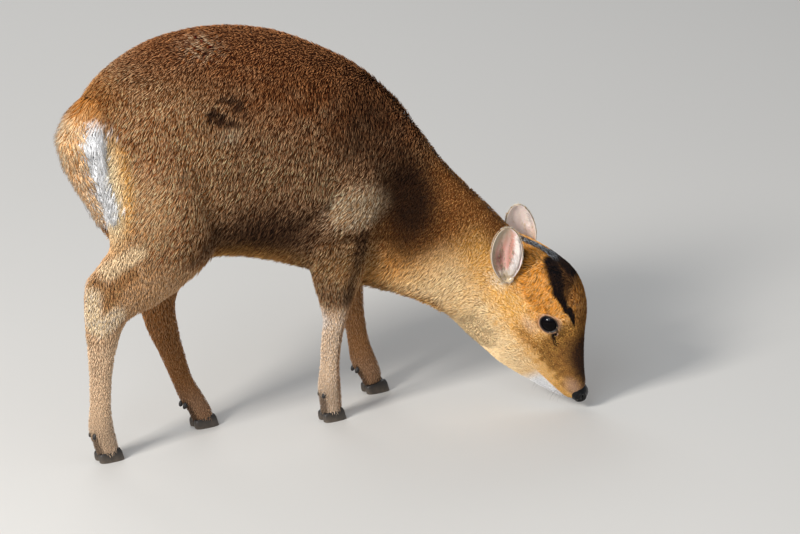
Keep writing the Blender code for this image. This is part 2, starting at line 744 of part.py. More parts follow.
def ear_shell(name, side_name, collection):
    """A cupped leaf, narrow where it leaves the head, widest half way up, round at the tip."""
    root, length_way, facing = EARS[side_name]
    base = head_matrix() @ root
    along = length_way.normalized()
    out = (facing - along * facing.dot(along)).normalized()
    across = along.cross(out)
    shape = bmesh.new()
    grid = []
    for row in range(EAR_ROWS + 1):
        u = 0.985 * math.sin(math.pi / 2 * row / EAR_ROWS)
        if u < EAR_WIDEST:
            width = 0.24 + 0.76 * math.sin(math.pi / 2 * u / EAR_WIDEST) ** 0.8
        else:
            width = math.sqrt(1 - ((u - EAR_WIDEST) / (1 - EAR_WIDEST)) ** 2.3)
        half_angle = math.radians(82 - 40 * min(1.0, u / 0.8))
        radius = EAR_HALF_WIDTH * width / math.sin(half_angle)
        lift = EAR_LENGTH * (u - 0.06)
        bow = EAR_BOW * u * u - EAR_TUCK * max(0.0, 1 - u / 0.4) ** 2
        line = []
        for column in range(EAR_COLUMNS + 1):
            angle = half_angle * (2 * column / EAR_COLUMNS - 1)
            depth = radius * (math.cos(angle) - math.cos(half_angle))
            line.append(shape.verts.new(
                base + along * lift + across * (radius * math.sin(angle)) - out * (depth - bow)))
        grid.append(line)
    for first, second in zip(grid, grid[1:]):
        for index in range(EAR_COLUMNS):
            shape.faces.new((first[index], first[index + 1], second[index + 1], second[index]))
    bmesh.ops.recalc_face_normals(shape, faces=shape.faces)
    item = object_from_bmesh(name, shape, collection)
    middle = item.data.polygons[len(item.data.polygons) // 2]
    solid = item.modifiers.new("Wall", "SOLIDIFY")
    solid.thickness = EAR_WALL
    solid.offset = -1.0 if middle.normal.dot(out) > 0 else 1.0
    solid.use_even_offset = False
    apply_modifiers(item)
    return item


def detail_head(head, parts, cutters):
    """Give the head its sockets, lids, tear slits, mouth, nose pad and nostrils."""
    head.data.transform(head_matrix().inverted())
    eyes = []
    for side, side_name in ((1, "left"), (-1, "right")):
        lid = eye_ball("lid", side, EYE_RADIUS + LID_THICKNESS, cutters, 20, 12)
        boolean(head, lid, "UNION")
        drop(lid)
        slit_points = [Vector((x, y * side, z)) for x, y, z in TEAR_SLIT]
        slit = groove("tear_slit", slit_points, head, SLIT_RADII, cutters)
        socket = eye_ball("socket", side, EYE_RADIUS + JOINT_GAP, cutters, 18, 12)
        opening = eye_opening(side, cutters)
        for cutter in (slit, socket, opening):
            boolean(head, cutter, "DIFFERENCE")
            drop(cutter)
        eye = eye_ball("eye_" + side_name, side, EYE_RADIUS, parts, 14, 10)
        eyes.append(eye)
    route = list(MOUTH) + [mirrored(point) for point in reversed(MOUTH[:-1])]
    radii = [GROOVE_RADIUS * (0.5 if index in (0, len(route) - 1) else 1.0)
             for index in range(len(route))]
    mouth = groove("mouth", route, head, radii, cutters)
    boolean(head, mouth, "DIFFERENCE")
    drop(mouth)
    pad = ball("nose_pad", NOSE_PAD_PLACE, NOSE_PAD_RADII, parts, 16, 10)
    recess = ball("recess", NOSE_PAD_PLACE, [r + JOINT_GAP for r in NOSE_PAD_RADII], cutters, 16, 10)
    boolean(head, recess, "DIFFERENCE")
    drop(recess)
    for side in (1, -1):
        place = NOSTRIL_PLACE.copy()
        place.y *= side
        nostril = ball("nostril", (0, 0, 0), NOSTRIL_RADII, cutters, 8, 6)
        nostril.data.transform(
            Matrix.Translation(place) @ Matrix.Rotation(math.radians(24 * side), 4, "X"))
        boolean(pad, nostril, "DIFFERENCE")
        drop(nostril)
    keep_largest(head)
    for item in [head, pad] + eyes:
        place_in_head(item)


def dress(item):
    """Give a part its own material, coloured by the kind of part it is."""
    kind = next(kind for start, kind in KINDS if item.name.startswith(start))
    colour, roughness = COLOURS[kind]
    item.data.materials.clear()
    item.data.materials.append(principled(item.name, colour, roughness))


def main():
    clear_scene()
    parts = new_collection("muntjac")
    cutters = new_collection("cutters")

    trunk = trunk_form(cutters)
    skull = [head_form(cutters)] + head_swellings(cutters)
    for item in skull:
        place_in_head(item)
    legs = [leg_form(name, stations, cutters) for name, stations in LEGS.items()]

    head = fuse("head", [trunk] + skull, HEAD_VOXEL, HEAD_SMOOTHING, parts)
    to_world = head_matrix()
    poll_point = to_world @ POLL_PLANE[0]
    poll_normal = (to_world.to_3x3() @ POLL_PLANE[1]).normalized()
    slice_off(head, poll_point, -poll_normal)
    decimate(head, HEAD_TRIANGLES)

    body = fuse("torso", [trunk] + skull + legs, BODY_VOXEL, BODY_SMOOTHING, parts)
    slice_off(body, poll_point - poll_normal * JOINT_GAP, poll_normal)
    decimate(body, BODY_TRIANGLES)
    for item in [trunk] + skull + legs:
        drop(item)

    body_grown = grown_copy(body, JOINT_GAP, cutters)
    tail = tail_with_locks(parts, cutters)
    boolean(tail, body_grown, "DIFFERENCE", "MANIFOLD")
    keep_largest(tail)
    drop(body_grown)

    for name, stations in LEGS.items():
        shank = part_leg(name, body, parts, cutters)
        for side, side_name in ((1, "left"), (-1, "right")):
            skin_sections("hoof_%s_%s" % (name, side_name), toe_sections(stations, side), parts)
            add_dewclaw(shank, stations, side, cutters)
        keep_largest(shank)

    neck = copy_of(body, "neck", parts)
    slice_off(neck, NECK_PLANE[0], -NECK_PLANE[1].normalized())
    slice_off(body, NECK_PLANE[0] - NECK_PLANE[1].normalized() * JOINT_GAP, NECK_PLANE[1].normalized())
    keep_largest(neck)
    keep_largest(body)

    detail_head(head, parts, cutters)
    flesh = [grown_copy(item, JOINT_GAP, cutters) for item in (head, neck)]
    for side_name in EARS:
        ear = ear_shell("ear_" + side_name, side_name, parts)
        for item in flesh:
            boolean(ear, item, "DIFFERENCE")
        keep_largest(ear)
    for item in flesh:
        drop(item)

    base = bpy.data.objects.new("muntjac_base", None)
    for item in parts.objects:
        item.data.transform(Matrix.Translation(MODEL_SHIFT))
        dress(item)
        item.parent = base
    parts.objects.link(base)


if __name__ == "__main__":
    main()
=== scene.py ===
"""A muntjac doe grazing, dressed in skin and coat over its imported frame.

Laid out as an add-on: sizes and colours are scene properties, each group of pieces is an
operator, and a panel in the 3D view lists them.
"""

import json
import math

import bmesh
import bpy
import numpy as np
from mathutils import Matrix, Vector, interpolate

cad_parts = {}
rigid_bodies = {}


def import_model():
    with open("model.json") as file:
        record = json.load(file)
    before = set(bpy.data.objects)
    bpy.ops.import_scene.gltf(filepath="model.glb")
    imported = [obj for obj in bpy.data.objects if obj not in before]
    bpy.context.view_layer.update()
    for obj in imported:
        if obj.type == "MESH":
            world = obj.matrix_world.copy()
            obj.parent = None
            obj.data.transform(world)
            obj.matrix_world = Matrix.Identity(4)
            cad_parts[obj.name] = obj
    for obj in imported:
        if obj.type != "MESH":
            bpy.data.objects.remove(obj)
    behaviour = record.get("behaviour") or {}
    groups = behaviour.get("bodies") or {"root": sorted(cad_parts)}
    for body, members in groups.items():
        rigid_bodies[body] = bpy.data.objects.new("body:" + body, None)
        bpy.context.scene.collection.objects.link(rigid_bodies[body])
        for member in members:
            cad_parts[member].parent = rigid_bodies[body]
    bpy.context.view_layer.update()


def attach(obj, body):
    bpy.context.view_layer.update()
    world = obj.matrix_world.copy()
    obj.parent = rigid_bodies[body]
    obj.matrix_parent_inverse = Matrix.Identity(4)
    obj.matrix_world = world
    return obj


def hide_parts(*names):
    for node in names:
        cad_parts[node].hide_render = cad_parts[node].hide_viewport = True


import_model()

bl_info = {
    "name": "Grazing muntjac",
    "version": (1, 0, 0),
    "blender": (4, 5, 0),
    "location": "View3D > Sidebar > Muntjac",
    "description": "Builds the skin, coat and details of a small grazing deer",
    "category": "Object",
}


def metres(sizes):
    """Sizes in millimetres, in rows or rows of rows, as metres."""
    if isinstance(sizes, (int, float)):
        return sizes / 1000
    return tuple(metres(size) for size in sizes)


# How far the forms below are moved so that the origin is under the middle of the animal
SHIFT = Vector((0.0041, 0.0392, 0.0))

NOSE_POINT = Vector((0.305, -0.144, 0.022))
HEAD_TURN = math.radians(34)
HEAD_PITCH = math.radians(57)
HEAD_ROLL = math.radians(8)

NOSE_RADII = (0.0128, 0.0142, 0.0118)
NOSE_CENTRE = (-0.0012, 0.0, -0.0008)

EYE_RADIUS = 0.0132
EYE_PLACE = Vector((-0.1035, 0.0268, 0.0285))
EYE_OPENING = (0.0122, 0.0100)
EYE_TILT = math.radians(20)

# In millimetres: trunk and neck from the rump, top point, lowest point, half width, turn
TRUNK = tuple((*metres(sizes), turn) for *sizes, turn in (
    (-300, 0, 412, -292, 0, 345, 30, 0), (-283, 0, 449, -276, 0, 288, 56, 0),
    (-252, 0, 477, -248, 0, 254, 71, 0), (-205, 0, 499, -205, 0, 238, 79, 0),
    (-155, 0, 508, -155, 0, 231, 81, 0), (-110, 0, 508, -110, 0, 227, 82, 0),
    (-60, 0, 500, -60, 0, 214, 83, 0), (-20, 0, 487, -20, 0, 200, 80, 0),
    (20, 0, 468, 15, 0, 186, 74, 0), (56, 0, 448, 43, 0, 173, 67, 0),
    (92, -3, 420, 68, -3, 164, 62, 8), (123, -15, 385, 90, -10, 158, 57, 20),
    (148, -33, 344, 111, -22, 152, 53, 28), (171, -52, 308, 133, -33, 144, 51, 32),
    (194, -70, 281, 155, -43, 133, 49, 34), (216, -87, 254, 173, -51, 119, 47, 34),
    (235, -102, 228, 190, -58, 110, 43, 34), (248, -111, 205, 206, -68, 112, 33, 34)))
NECK_FROM = 11

# The head in its own frame: x, top, bottom, half width, height where it is widest
HEAD = metres((
    (4, 7, -11, 10, -2), (0, 10.5, -16, 13, -3), (-10, 16, -24.5, 15.5, -5),
    (-25, 24, -35.5, 17.5, -8), (-45, 36.5, -46.5, 20, -6), (-65, 50, -56, 24.8, 2),
    (-85, 65, -64.5, 31.2, 12), (-104, 74.5, -70, 35.5, 18), (-125, 79.5, -75.5, 38.5, 18),
    (-145, 78.5, -80.5, 40, 12), (-165, 71.5, -86, 41.5, 4), (-185, 62, -90, 42.5, -6),
    (-205, 50, -90, 43.5, -14), (-225, 37, -85, 43, -22), (-240, 24, -75, 38, -25)))
SWELLINGS = metres((
    ((-103, 21.5, 27.5), (23, 18, 20)),
    ((-156, 0, -20), (64, 41.2, 48)),
))

# Legs from the top down: front edge (x, z), back edge (x, z), y, half width
LEGS = {
    "hind_right": metres((
        (-165, 430, -262, 430, -34, 30), (-148, 365, -288, 372, -41, 43),
        (-142, 305, -288, 318, -46, 43), (-148, 252, -283, 280, -47, 36),
        (-188, 212, -284, 264, -45, 28), (-226, 190, -298, 246, -43, 21),
        (-262, 176, -314, 226, -42, 16.5), (-276, 148, -316, 186, -41, 15),
        (-282.5, 113, -312.5, 132, -39, 13.2), (-284, 75, -312, 75, -37, 12.5),
        (-281, 48, -313.5, 44, -35, 13.8), (-276, 26, -308, 23, -34, 13),
        (-272.5, 10, -303, 10, -33, 13.2), (-272.5, 4, -303, 4, -33, 11))),
    "hind_left": metres((
        (-155, 430, -260, 430, 34, 30), (-118, 365, -284, 372, 41, 43),
        (-97, 312, -272, 320, 46, 43), (-94, 268, -246, 275, 46, 35),
        (-114, 234, -224, 240, 43, 27), (-142, 204, -217, 210, 38, 20),
        (-164, 166, -214.5, 176, 33, 16), (-162.5, 130, -203.5, 134, 30, 14),
        (-155.5, 100, -189, 100, 28, 12.7), (-146.5, 68, -175.5, 66, 26, 12.2),
        (-133.5, 44, -165.5, 40, 24, 13.6), (-123.5, 25, -154.5, 22, 23, 12.8),
        (-118.5, 10, -149, 10, 23, 13.2), (-118.5, 4, -149, 4, 23, 11))),
    "fore_right": metres((
        (68, 380, -30, 385, -30, 20), (86, 330, -46, 345, -40, 33), (87, 275, -50, 290, -43, 36),
        (72, 226, -40, 246, -44, 30), (57, 190, -22, 215, -43, 22), (43, 158, -9, 174, -41, 16.5),
        (32.5, 130, 2, 137, -39, 14.2), (27.5, 104, 0, 104, -37, 12), (26, 75, -1, 75, -35, 11.5),
        (28, 47, -3.5, 44, -33, 13), (30, 26, -0.5, 22, -32, 12.4), (30, 10, 0.5, 10, -32, 13),
        (30, 4, 0.5, 4, -32, 10.8))),
    "fore_left": metres((
        (83, 380, -20, 385, 30, 20), (102, 330, -32, 345, 40, 33), (108, 275, -28, 290, 43, 36),
        (106, 228, -6, 246, 44, 30), (105, 190, 25, 210, 43, 22), (100, 158, 48, 170, 42, 16.5),
        (99, 130, 65, 134, 41, 14.2), (101.5, 102, 72, 100, 40, 12), (106.5, 73, 77, 69, 39, 11.5),
        (115, 49, 81, 42, 38, 13), (124.5, 26, 92.5, 21, 37, 12.4), (128.5, 10, 98, 10, 37, 13),
        (128.5, 4, 98, 4, 37, 10.8))),
}
DEWCLAW_RADII = (0.0030, 0.0025, 0.0048)
DEWCLAW_LEAN = math.radians(24)
DEWCLAW_FORWARD = 0.0058
DEWCLAW_SIDE = 0.0056
DEWCLAW_DROP = 0.0080
HOOF_TIP_REACH = 0.0035
HOOF_TOP_FRONT = 0.0150
HOOF_TOP_HEEL = 0.0110
TOE_WIDTH = 0.0112
TOE_GAP = 0.0016
PASTERN = -4

# The tail, root to tip: x, z, half thickness, half width
TAIL = metres((
    (-286, 441, 12, 14), (-304, 418, 14, 22), (-312.5, 390, 15.5, 30), (-303, 354, 14.5, 31),
    (-290, 324, 12, 26), (-279, 303, 9.5, 19), (-271.5, 284, 5.5, 9)))
TAIL_SWING = -0.004
TAIL_CORE = 0.50
RIGHT_SPREAD = (0.60, 1.30)
RIGHT_FORWARD = (0.018, 0.004)

EARS = {
    "right": (Vector((-0.182, -0.052, 0.021)), Vector((-0.075, -0.085, 1.0)),
              Vector((-0.35, -0.90, 0.10))),
    "left": (Vector((-0.176, 0.036, 0.026)), Vector((-0.22, 0.04, 1.0)),
             Vector((-0.25, -0.95, 0.12))),
}
EAR_WALL = 0.0014
EAR_LENGTH = 0.074
EAR_HALF_WIDTH = 0.0186
EAR_WIDEST = 0.48
EAR_BOW = 0.006
EAR_TUCK = 0.0065

MOUTH = (
    (-47, 20, -22.5), (-36, 18, -20.5), (-22, 16, -17.5), (-9, 13, -15), (1, 8, -13), (4, 0, -12.5))
TEAR_LINE = (
    (-92.5, 36.5, 32), (-88.5, 34.5, 28.5), (-81.5, 30.2, 20.5),
    (-75.5, 28, 18.5), (-71, 26, 21))
TEAR_SKIN = ((-85.5, 32.5, 28.5), (-80, 30.5, 26.5))
POLL_PLANE = (Vector((-0.200, 0.0, 0.045)), Vector((0.955, 0.0, 0.297)))

FLESH = ["torso", "neck", "head", "tail"] + [
    "%s_%s" % (leg, length) for leg in LEGS for length in ("upper", "lower")]


# Properties
def linear(red, green, blue):
    """A colour given as it looks on a screen, 0 to 255, as linear light."""
    result = []
    for value in (red, green, blue):
        share = value / 255
        result.append(share / 12.92 if share < 0.04045 else ((share + 0.055) / 1.055) ** 2.4)
    return tuple(result)


def described(kind, rows, **shared):
    """Properties of one kind, each named after its key, from its description and default."""
    return {key: kind(name=key.replace("_", " ").capitalize(), description=words, default=value,
                      **shared) for key, (words, value) in rows.items()}


def colours(**rows):
    """Colour properties from what each is and its look on a screen."""
    return described(bpy.props.FloatVectorProperty,
                     {key: (words, linear(*screen)) for key, (words, *screen) in rows.items()},
                     subtype="COLOR", size=3, min=0.0, max=1.0)


def lengths(**rows):
    return described(bpy.props.FloatProperty, rows, min=0.0, unit="LENGTH", precision=5)


def counts(**rows):
    return described(bpy.props.IntProperty, rows, min=1)


def powers(**rows):
    return described(bpy.props.FloatProperty, rows, min=0.0, unit="POWER")


def angles(**rows):
    return described(bpy.props.FloatProperty, rows, subtype="ANGLE")


class MuntjacSkinSettings(bpy.types.PropertyGroup):
    __annotations__ = {**lengths(
        body_voxel=("Size of the skin's faces on the body", 0.0030),
        head_voxel=("Size of the skin's faces on the head", 0.0013),
        body_depth=("How far the skin lies under the coat", 0.0050),
        leg_depth=("Depth of the coat on the legs", 0.0022),
        head_depth=("Depth of the coat on the head", 0.0016)), **colours(
        lid=("Bare skin round the eye", 188, 142, 106),
        lid_edge=("Wet dark edge of the lids", 22, 15, 14),
        ear_pink=("Bare skin deep in the ear", 206, 146, 132),
        ear_pale=("Thin skin towards the ear's edge", 255, 240, 230),
        ear_grey=("Fine grey hair inside the ear", 168, 156, 134),
        ear_dark=("Dark reddish hollow of the ear", 112, 56, 44))}


class MuntjacCoatSettings(bpy.types.PropertyGroup):
    __annotations__ = {**counts(
        seed=("Start of the random draws", 7),
        body_tufts=("Tufts on trunk and neck", 146000),
        leg_tufts=("Tufts on the legs", 34000),
        head_tufts=("Tufts on the head", 50000),
        tail_tufts=("Tufts on the tail", 9000)), **lengths(
        body_length=("Length of a body tuft", 0.0115),
        leg_length=("Length of a leg tuft", 0.0070),
        head_length=("Length of a face tuft", 0.0046),
        body_width=("Width of a body tuft", 0.00105)), **colours(
        back=("Rust brown of the back", 98, 48, 15),
        back_tip=("Light tips on the back", 208, 146, 94),
        flank=("Brown of the flank", 114, 69, 35),
        flank_tip=("Grey fawn tips on the flank", 252, 206, 160),
        haunch=("Fawn of the thigh", 158, 106, 60),
        haunch_tip=("Light tips on the thigh", 252, 212, 168),
        neck=("Brown of the neck", 146, 88, 34),
        neck_tip=("Golden tips on the neck", 228, 164, 90),
        gold=("Golden cheek and lower neck", 250, 190, 98),
        cream=("Pale throat, belly and jaw", 255, 228, 186),
        orange=("Bright orange of the brow", 246, 166, 66),
        tail_orange=("Orange band of the tail", 232, 160, 84),
        tail_tip=("Light tips on the tail", 255, 234, 194),
        white=("White of chin and tail", 250, 250, 252),
        tan=("Tan of the legs", 212, 164, 116),
        pale_leg=("Pale beige of the shanks", 246, 214, 180),
        # Painted shade: this brown darkens the upper near foreleg where shade falls
        brown_leg=("Brown front of the legs", 100, 64, 34),
        dusty=("Grey of the feet", 168, 142, 122),
        russet=("Russet between the dark bands", 122, 74, 34),
        speckle=("Olive brown of the cheek", 168, 116, 58),
        bridge=("Dark brown of the nose bridge", 58, 36, 22),
        black=("Black bands of the head", 16, 15, 18),
        pink=("Bare pinkish lip", 228, 188, 164),
        # Painted shade: this dark brown darkens the lower flank, the shoulder top, the neck behind
        # the shoulder, the creases and the chest line, where shade falls; it also tips the rubbed
        # places
        shade=("Dark brown of folds and shoulder", 50, 28, 15),
        shade_tip=("Tips of the dark hair", 112, 78, 52),
        # Painted sheen: grey-blue tips that stand in for the sky reflected on the glossy black
        # crown hair
        crown_grey=("Blue-grey ticking of the crown", 202, 208, 214),
        # The fawn colours paint the highlight on the shoulder's bulge, a painted highlight, and the
        # pale hair of the rubbed places
        fawn=("Pale grey fawn of the shoulder patch", 182, 146, 108),
        fawn_tip=("Tips of the shoulder patch", 255, 234, 202))}


class MuntjacDetailSettings(bpy.types.PropertyGroup):
    __annotations__ = {**counts(
        whiskers_per_side=("Whiskers on each side of the lip", 16),
        lashes_per_eye=("Lashes on each upper lid", 46)), **colours(
        eye_dark=("Near-black of the eye", 8, 5, 6),
        # Painted reflection: the bluish upper part of the eye stands in for the sky reflected on it
        iris=("Dark brown at the eye's edge", 28, 32, 46),
        nose_black=("Black of the nose pad", 5, 5, 6),
        horn=("Dark horn of the hooves", 34, 30, 28),
        horn_dust=("Dust on the hooves", 120, 106, 92),
        whisker=("Dark whiskers and lashes", 26, 20, 18))}


class MuntjacStageSettings(bpy.types.PropertyGroup):
    __annotations__ = {**lengths(
        floor_size=("Length of the floor's side", 14.0),
        camera_distance=("From the point aimed at", 4.8)), **powers(
        key_power=("Power of the main light", 185.0),
        back_power=("Power of the light behind", 28.0),
        soft_power=("Power of the broad cool light", 62.0)), **angles(
        camera_yaw=("Turn round the animal", math.radians(-29)),
        camera_pitch=("Angle above the floor", math.radians(17))),
        **described(bpy.props.FloatProperty, dict(
        sky=("Strength of the even light", 0.40),
        lens=("Focal length in millimetres", 173.9)), min=0.0), **colours(
        floor=("Pale studio floor", 208, 206, 202))}


# Small tools
def clear_work(item):
    bpy.data.objects.remove(item, do_unlink=True)


def ramp(low, high, values):
    share = np.clip((values - low) / (high - low), 0.0, 1.0)
    return share * share * (3.0 - 2.0 * share)


def blend_in(base, other, mask):
    """Rows of base moved towards other by the mask."""
    return base + (np.asarray(other) - base) * mask[:, None]


def inside(points, centre, radii, soft=0.35):
    """1 well inside an ellipsoid given in millimetres, 0 well outside."""
    reach = np.linalg.norm((points * 1000 - centre) / radii, axis=1)
    return 1.0 - ramp(1.0 - soft, 1.0 + soft, reach)


def off_line(points, line):
    """Distance of each point from a line of straight pieces given in millimetres."""
    line = np.array(line) / 1000
    nearest = np.full(len(points), 1e9)
    for start, end in zip(line, line[1:]):
        span = end - start
        share = np.clip(((points - start) @ span) / (span @ span), 0.0, 1.0)
        away = np.linalg.norm(points - start - share[:, None] * span, axis=1)
        nearest = np.minimum(nearest, away)
    return nearest


def ripple(points, wavelength, seed):
    """A smooth field between about -1 and 1 that varies over the given length."""
    draw = np.random.default_rng(seed)
    result = np.zeros(len(points))
    for _ in range(7):
        way = draw.normal(size=3)
        way *= 2 * math.pi / wavelength / np.linalg.norm(way) * draw.uniform(0.6, 1.5)
        result += np.sin(points @ way + draw.uniform(0, 2 * math.pi))
    return result / 2.6


def mirrored(points):
    """Points with the right side laid over the left one."""
    return np.stack((points[:, 0], np.abs(points[:, 1]), points[:, 2]), axis=1)


def unit(vectors):
    return vectors / np.maximum(np.linalg.norm(vectors, axis=1, keepdims=True), 1e-9)


def along_skin(ways, normals):
    """Directions laid flat on the skin."""
    return unit(ways - normals * np.sum(ways * normals, axis=1, keepdims=True))


def rows_of(value, count):
    return np.tile(np.array(value, float), (count, 1))


def smooth_rows(rows, steps):
    """Rows of numbers with a Catmull-Rom curve run through them."""
    result = []
    last = len(rows) - 1
    for index in range(last):
        before, start = rows[max(index - 1, 0)], rows[index]
        end, after = rows[index + 1], rows[min(index + 2, last)]
        for step in range(steps):
            t = step / steps
            result.append(tuple(
                0.5 * (2 * b + (c - a) * t + (2 * a - 5 * b + 4 * c - d) * t * t
                       + (3 * b - a - 3 * c + d) * t ** 3)
                for a, b, c, d in zip(before, start, end, after)))
    result.append(tuple(rows[last]))
    return result


def rounded(value, fullness):
    return math.copysign(abs(value) ** (2 / fullness), value)


def section(high, low, widest, across, half_width, sides, fullness, slim):
    """One closed section between a high and a low point, round or a little square."""
    points = []
    for index in range(sides):
        angle = 2 * math.pi * index / sides
        lift = rounded(math.cos(angle), fullness)
        side = rounded(math.sin(angle), fullness) * (1 - slim * math.cos(angle))
        reach = (high - widest) if lift > 0 else (widest - low)
        points.append(widest + reach * lift + across * (half_width * side))
    return points


def add_object(name, data):
    item = bpy.data.objects.new(name, data)
    bpy.context.scene.collection.objects.link(item)
    return item


def object_from(name, shape):
    mesh = bpy.data.meshes.new(name)
    shape.to_mesh(mesh)
    shape.free()
    return add_object(name, mesh)


def loft(name, sections, closed=False):
    """A closed mesh through a row of sections, with caps or joined end to end."""
    shape = bmesh.new()
    rings = [[shape.verts.new(point) for point in ring] for ring in sections]
    sides = len(rings[0])
    for first, second in zip(rings, rings[1:] + rings[:1] if closed else rings[1:]):
        for index in range(sides):
            follow = (index + 1) % sides
            shape.faces.new((first[index], first[follow], second[follow], second[index]))
    if not closed:
        shape.faces.new(list(reversed(rings[0])))
        shape.faces.new(rings[-1])
    bmesh.ops.recalc_face_normals(shape, faces=shape.faces)
    return object_from(name, shape)


def ball(name, centre, radii, segments, rings):
    shape = bmesh.new()
    bmesh.ops.create_uvsphere(shape, u_segments=segments, v_segments=rings, radius=1.0)
    for vertex in shape.verts:
        vertex.co = Vector(centre) + Vector(
            vertex.co[axis] * radii[axis] for axis in range(3))
    return object_from(name, shape)


def bake_modifiers(item):
    """Replace the object's mesh by what its modifiers make of it."""
    bpy.context.view_layer.update()
    graph = bpy.context.evaluated_depsgraph_get()
    mesh = bpy.data.meshes.new_from_object(item.evaluated_get(graph))
    item.modifiers.clear()
    item.data = mesh


def boolean(item, other, operation, solver):
    modifier = item.modifiers.new(operation.title(), "BOOLEAN")
    modifier.operation = operation
    modifier.solver = solver
    modifier.object = other
    bake_modifiers(item)
    clear_work(other)


def fuse(name, pieces, voxel, smoothing):
    """One soft closed skin over overlapping pieces."""
    shape = bmesh.new()
    for piece in pieces:
        shape.from_mesh(piece.data)
    item = object_from(name, shape)
    remesh = item.modifiers.new("Fuse", "REMESH")
    remesh.mode = "VOXEL"
    remesh.voxel_size = voxel
    soften = item.modifiers.new("Soften", "SMOOTH")
    soften.factor = 0.5
    soften.iterations = smoothing
    bake_modifiers(item)
    return item


def slice_off(item, point, normal):
    """Cut at a plane, keep the side that the normal points away from, and cap it."""
    shape = bmesh.new()
    shape.from_mesh(item.data)
    geometry = list(shape.verts) + list(shape.edges) + list(shape.faces)
    bmesh.ops.bisect_plane(
        shape, geom=geometry, plane_co=point, plane_no=normal, clear_outer=True, dist=1e-7)
    rim = [edge for edge in shape.edges if edge.is_boundary]
    bmesh.ops.contextual_create(shape, geom=rim)
    bmesh.ops.triangulate(shape, faces=[face for face in shape.faces if len(face.verts) > 4])
    shape.to_mesh(item.data)
    shape.free()


def keep_largest(item):
    """Keep only the largest closed surface of the object."""
    shape = bmesh.new()
    shape.from_mesh(item.data)
    waiting = set(shape.faces)
    islands = []
    while waiting:
        front = [waiting.pop()]
        island = list(front)
        while front:
            for edge in front.pop().edges:
                for other in edge.link_faces:
                    if other in waiting:
                        waiting.remove(other)
                        front.append(other)
                        island.append(other)
        islands.append(island)
    islands.sort(key=len)
    scraps = [face for island in islands[:-1] for face in island]
    bmesh.ops.delete(shape, geom=scraps, context="FACES")
    shape.to_mesh(item.data)
    shape.free()


def soften_seam(item, point, normal, reach, rounds):
    """Even out the skin near a plane where two pieces were joined."""
    mesh = item.data
    points = coordinates(mesh)
    first, second = read_values(mesh.edges, "vertices", 2, np.int64).T
    share = np.exp(-(((points - np.array(point)) @ np.array(normal)) / reach) ** 2)
    close = (share[first] > 0.01) | (share[second] > 0.01)
    first, second = first[close], second[close]
    total = len(points)
    count = np.bincount(first, minlength=total) + np.bincount(second, minlength=total)
    factor = 0.6 * share * (count > 0)
    for _ in range(rounds):
        around = np.stack([
            np.bincount(first, points[second, axis], total)
            + np.bincount(second, points[first, axis], total) for axis in range(3)], axis=1)
        points += (around / np.maximum(count, 1)[:, None] - points) * factor[:, None]
    set_coordinates(mesh, points)


def head_matrix():
    heading = Vector((math.cos(HEAD_TURN), -math.sin(HEAD_TURN), 0.0))
    left = Vector((math.sin(HEAD_TURN), math.cos(HEAD_TURN), 0.0))
    up = Vector((0.0, 0.0, 1.0))
    muzzle = heading * math.cos(HEAD_PITCH) - up * math.sin(HEAD_PITCH)
    crown = heading * math.sin(HEAD_PITCH) + up * math.cos(HEAD_PITCH)
    side = left * math.cos(HEAD_ROLL) + crown * math.sin(HEAD_ROLL)
    crown = crown * math.cos(HEAD_ROLL) - left * math.sin(HEAD_ROLL)
    matrix = Matrix((muzzle, side, crown)).transposed().to_4x4()
    matrix.translation = NOSE_POINT
    return matrix


def in_head(points):
    """Points given in the forms' coordinates, in the head's own frame."""
    turn = np.array(head_matrix().inverted())
    return points @ turn[:3, :3].T + turn[:3, 3]


def from_head(vectors):
    return vectors @ np.array(head_matrix())[:3, :3].T


def read_values(items, name, size, kind=float):
    """One value of every item, as the rows of an array."""
    values = np.empty(len(items) * size, kind)
    items.foreach_get(name, values)
    return values.reshape(-1, size)


def coordinates(mesh):
    return read_values(mesh.vertices, "co", 3)


def vertex_normals(mesh):
    return read_values(mesh.vertices, "normal", 3)


def set_coordinates(mesh, points):
    mesh.vertices.foreach_set("co", np.asarray(points, float).ravel())
    mesh.update()


def paint(mesh, colours, name="Coat"):
    """Store one colour for each point of the mesh."""
    attribute = mesh.color_attributes.get(name) or mesh.color_attributes.new(
        name, "FLOAT_COLOR", "POINT")
    values = np.ones((len(mesh.vertices), 4))
    values[:, :3] = np.clip(colours, 0.0, 1.0)
    attribute.data.foreach_set("color", values.ravel())


def set_smooth(mesh):
    mesh.polygons.foreach_set("use_smooth", np.ones(len(mesh.polygons), bool))


def finish_piece(item, material, nodes=(), moved=True):
    """Move a piece to its place, give it its material and hide the parts it stands for."""
    if moved:
        item.data.transform(Matrix.Translation(SHIFT))
    item.data.materials.clear()
    item.data.materials.append(material)
    set_smooth(item.data)
    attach(item, "root")
    if nodes:
        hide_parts(*nodes)


# Shader groups
def add_node(tree, kind, inputs=(), **settings):
    """A new node with its settings and the values of its sockets."""
    node = tree.nodes.new(kind)
    for name, value in settings.items():
        setattr(node, name, value)
    for name, value in dict(inputs).items():
        node.inputs[name].default_value = value
    return node


def join(source, out, target, into):
    """Link two nodes by the names or numbers of their sockets."""
    source.id_data.links.new(source.outputs[out], target.inputs[into])


def new_group(name, inputs, outputs):
    """A shader group with its sockets made, and its two end nodes."""
    group = bpy.data.node_groups.new(name, "ShaderNodeTree")
    for socket_name, socket_type, default in inputs:
        socket = group.interface.new_socket(socket_name, in_out="INPUT", socket_type=socket_type)
        if default is not None:
            socket.default_value = default
    for socket_name, socket_type in outputs:
        group.interface.new_socket(socket_name, in_out="OUTPUT", socket_type=socket_type)
    return group, group.nodes.new("NodeGroupInput"), group.nodes.new("NodeGroupOutput")


